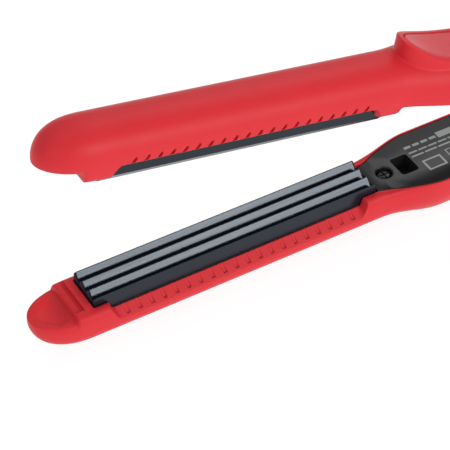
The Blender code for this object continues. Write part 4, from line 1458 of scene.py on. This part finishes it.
@dataclass(frozen=True)
class InnerParts:
    """The CAD nodes whose shape stays, each with its finish."""

    finishes: tuple[tuple[Slot, tuple[str, ...]], ...] = (
        (Slot.BLACK, ("lower_plate_carrier", "upper_plate_carrier", "cord_clamp", "upper_switch_body")),
        (Slot.CERAMIC, ("lower_heater", "upper_heater")),
        (Slot.ALUMINIUM, ("lower_heater_clamp", "upper_heater_clamp")),
        (Slot.MICA, ("lower_insulation_sheet", "upper_insulation_sheet")),
        (Slot.WHITE, ("lower_heater_lead_live", "lower_heater_lead_neutral", "upper_heater_lead_live",
                      "upper_heater_lead_neutral", "thermal_fuse", "terminal_block", "indicator_led")),
        (Slot.STEEL, ("thermostat", "hinge_pin", "hinge_spring")),
        (Slot.BOARD, ("upper_control_board",)),
    )

    def dress(self, nodes: dict[str, bpy.types.Object], shop: Workshop) -> None:
        """Give every kept CAD node its finish."""
        for slot, names in self.finishes:
            for name in names:
                for holder in nodes[name].material_slots:
                    holder.material = shop.materials[slot]
                log.info("%s: %s", name, slot.value)


# ---------------------------------------------------------------- studio


@dataclass
class SoftLight:
    """One large soft light, aimed at the tool."""

    name: str
    azimuth: float
    elevation: float
    distance: float
    width: float
    height: float
    power: float

    def build(self, target: Vector) -> None:
        """Hang the light."""
        a, e = math.radians(self.azimuth), math.radians(self.elevation)
        away = Vector((math.sin(a) * math.cos(e), -math.cos(a) * math.cos(e), math.sin(e)))
        bpy.ops.object.light_add(type="AREA", location=target + away * self.distance)
        lamp = bpy.context.object
        lamp.name = self.name
        lamp.rotation_euler = away.to_track_quat("Z", "Y").to_euler()
        lamp.data.shape = "RECTANGLE"
        lamp.data.size = self.width
        lamp.data.size_y = self.height
        lamp.data.energy = self.power


@dataclass
class Studio:
    """The pale floor, the even white surroundings, the soft lights and the camera."""

    camera_place: Point = (-0.33229, -0.39607, 0.43995)
    camera_turn: Point = (47.173, 0.767, -30.199)
    lens: float = 179.476
    world_strength: float = 0.47
    floor_size: float = 6.0

    def floor(self) -> None:
        """Lay the floor just under the resting face."""
        bpy.ops.mesh.primitive_plane_add(size=self.floor_size, location=(0.0, 0.0, -0.0001))
        floor = named("studio_floor")
        recipe = Recipe("floor_paper")
        shade = recipe.noise(0.02, 3.0)
        recipe.set("Base Color", recipe.mixed(shade, colour(0.2, 0.2, 0.2), colour(0.22, 0.22, 0.22)))
        recipe.set("Roughness", 0.7 + shade * 0.2)
        recipe.relief(recipe.noise(0.6, 4.0), 0.02)
        recipe.set("Emission Color", colour(1.0, 1.0, 1.0))
        recipe.set("Emission Strength", 0.87)
        floor.data.materials.append(recipe.material)

    def surroundings(self) -> None:
        """Even white light from all round."""
        world = bpy.data.worlds.new("white_surroundings")
        world.use_nodes = True
        back = world.node_tree.nodes["Background"]
        back.inputs["Color"].default_value = colour(1.0, 1.0, 1.0)
        back.inputs["Strength"].default_value = self.world_strength
        bpy.context.scene.world = world

    def lights(self) -> None:
        """Hang the soft lights."""
        middle = Vector((-0.09, 0.0, 0.03))
        SoftLight("near_softbox", 24.0, 25.5, 0.9, 0.5, 0.13, 3.4).build(middle)
        SoftLight("far_softbox", 128.0, 38.0, 0.8, 0.3, 0.3, 0.7).build(middle)
        SoftLight("nose_softbox", 300.0, 35.0, 1.0, 0.5, 0.5, 1.0).build(middle)
        SoftLight("top_softbox", 200.0, 74.0, 1.1, 1.0, 0.8, 1.4).build(middle)

    def camera(self) -> None:
        """Set up the camera."""
        turn = [math.radians(a) for a in self.camera_turn]
        bpy.ops.object.camera_add(location=self.camera_place, rotation=turn)
        camera = bpy.context.object
        camera.data.lens = self.lens
        camera.data.sensor_width = 36.0
        camera.data.clip_start = 0.01
        bpy.context.scene.camera = camera

    def build(self) -> None:
        """Set up the whole studio."""
        self.floor()
        self.surroundings()
        self.lights()
        self.camera()
        bpy.context.scene.view_settings.view_transform = "Standard"


def main() -> None:
    """Build the tool piece by piece over its frame, then the studio."""
    logging.basicConfig(level=logging.INFO, format="%(name)s %(message)s")
    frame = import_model()
    blackened = BrushedMetal("blackened_steel", (0.06, 0.06, 0.065), (0.03, 0.03, 0.03), 0.34).build()
    shop = Workshop(finishes(), blackened)
    lower = lower_arm()
    upper = upper_arm()
    InnerParts().dress(frame["nodes"], shop)
    LowerShell(lower).build(shop)
    shell = UpperShell(upper, deep_comb())
    shell.build(shop)
    shell.rest.build_panel(shop, upper)
    for arm in (lower, upper):
        CrimpPlate(arm).build(shop)
        CoverScrew(arm, 1).build(shop)
        CoverScrew(arm, 2).build(shop)
    LowerCover(lower).build(shop)
    UpperCover(upper).build(shop)
    PowerSwitch(upper).build(shop)
    IndicatorLens(upper).build(shop)
    HingeCaps(upper).build(shop)
    CordGland(lower).build(shop)
    Studio().build()
    log.info("%d pieces modelled", shop.count)


if __name__ == "__main__":
    main()
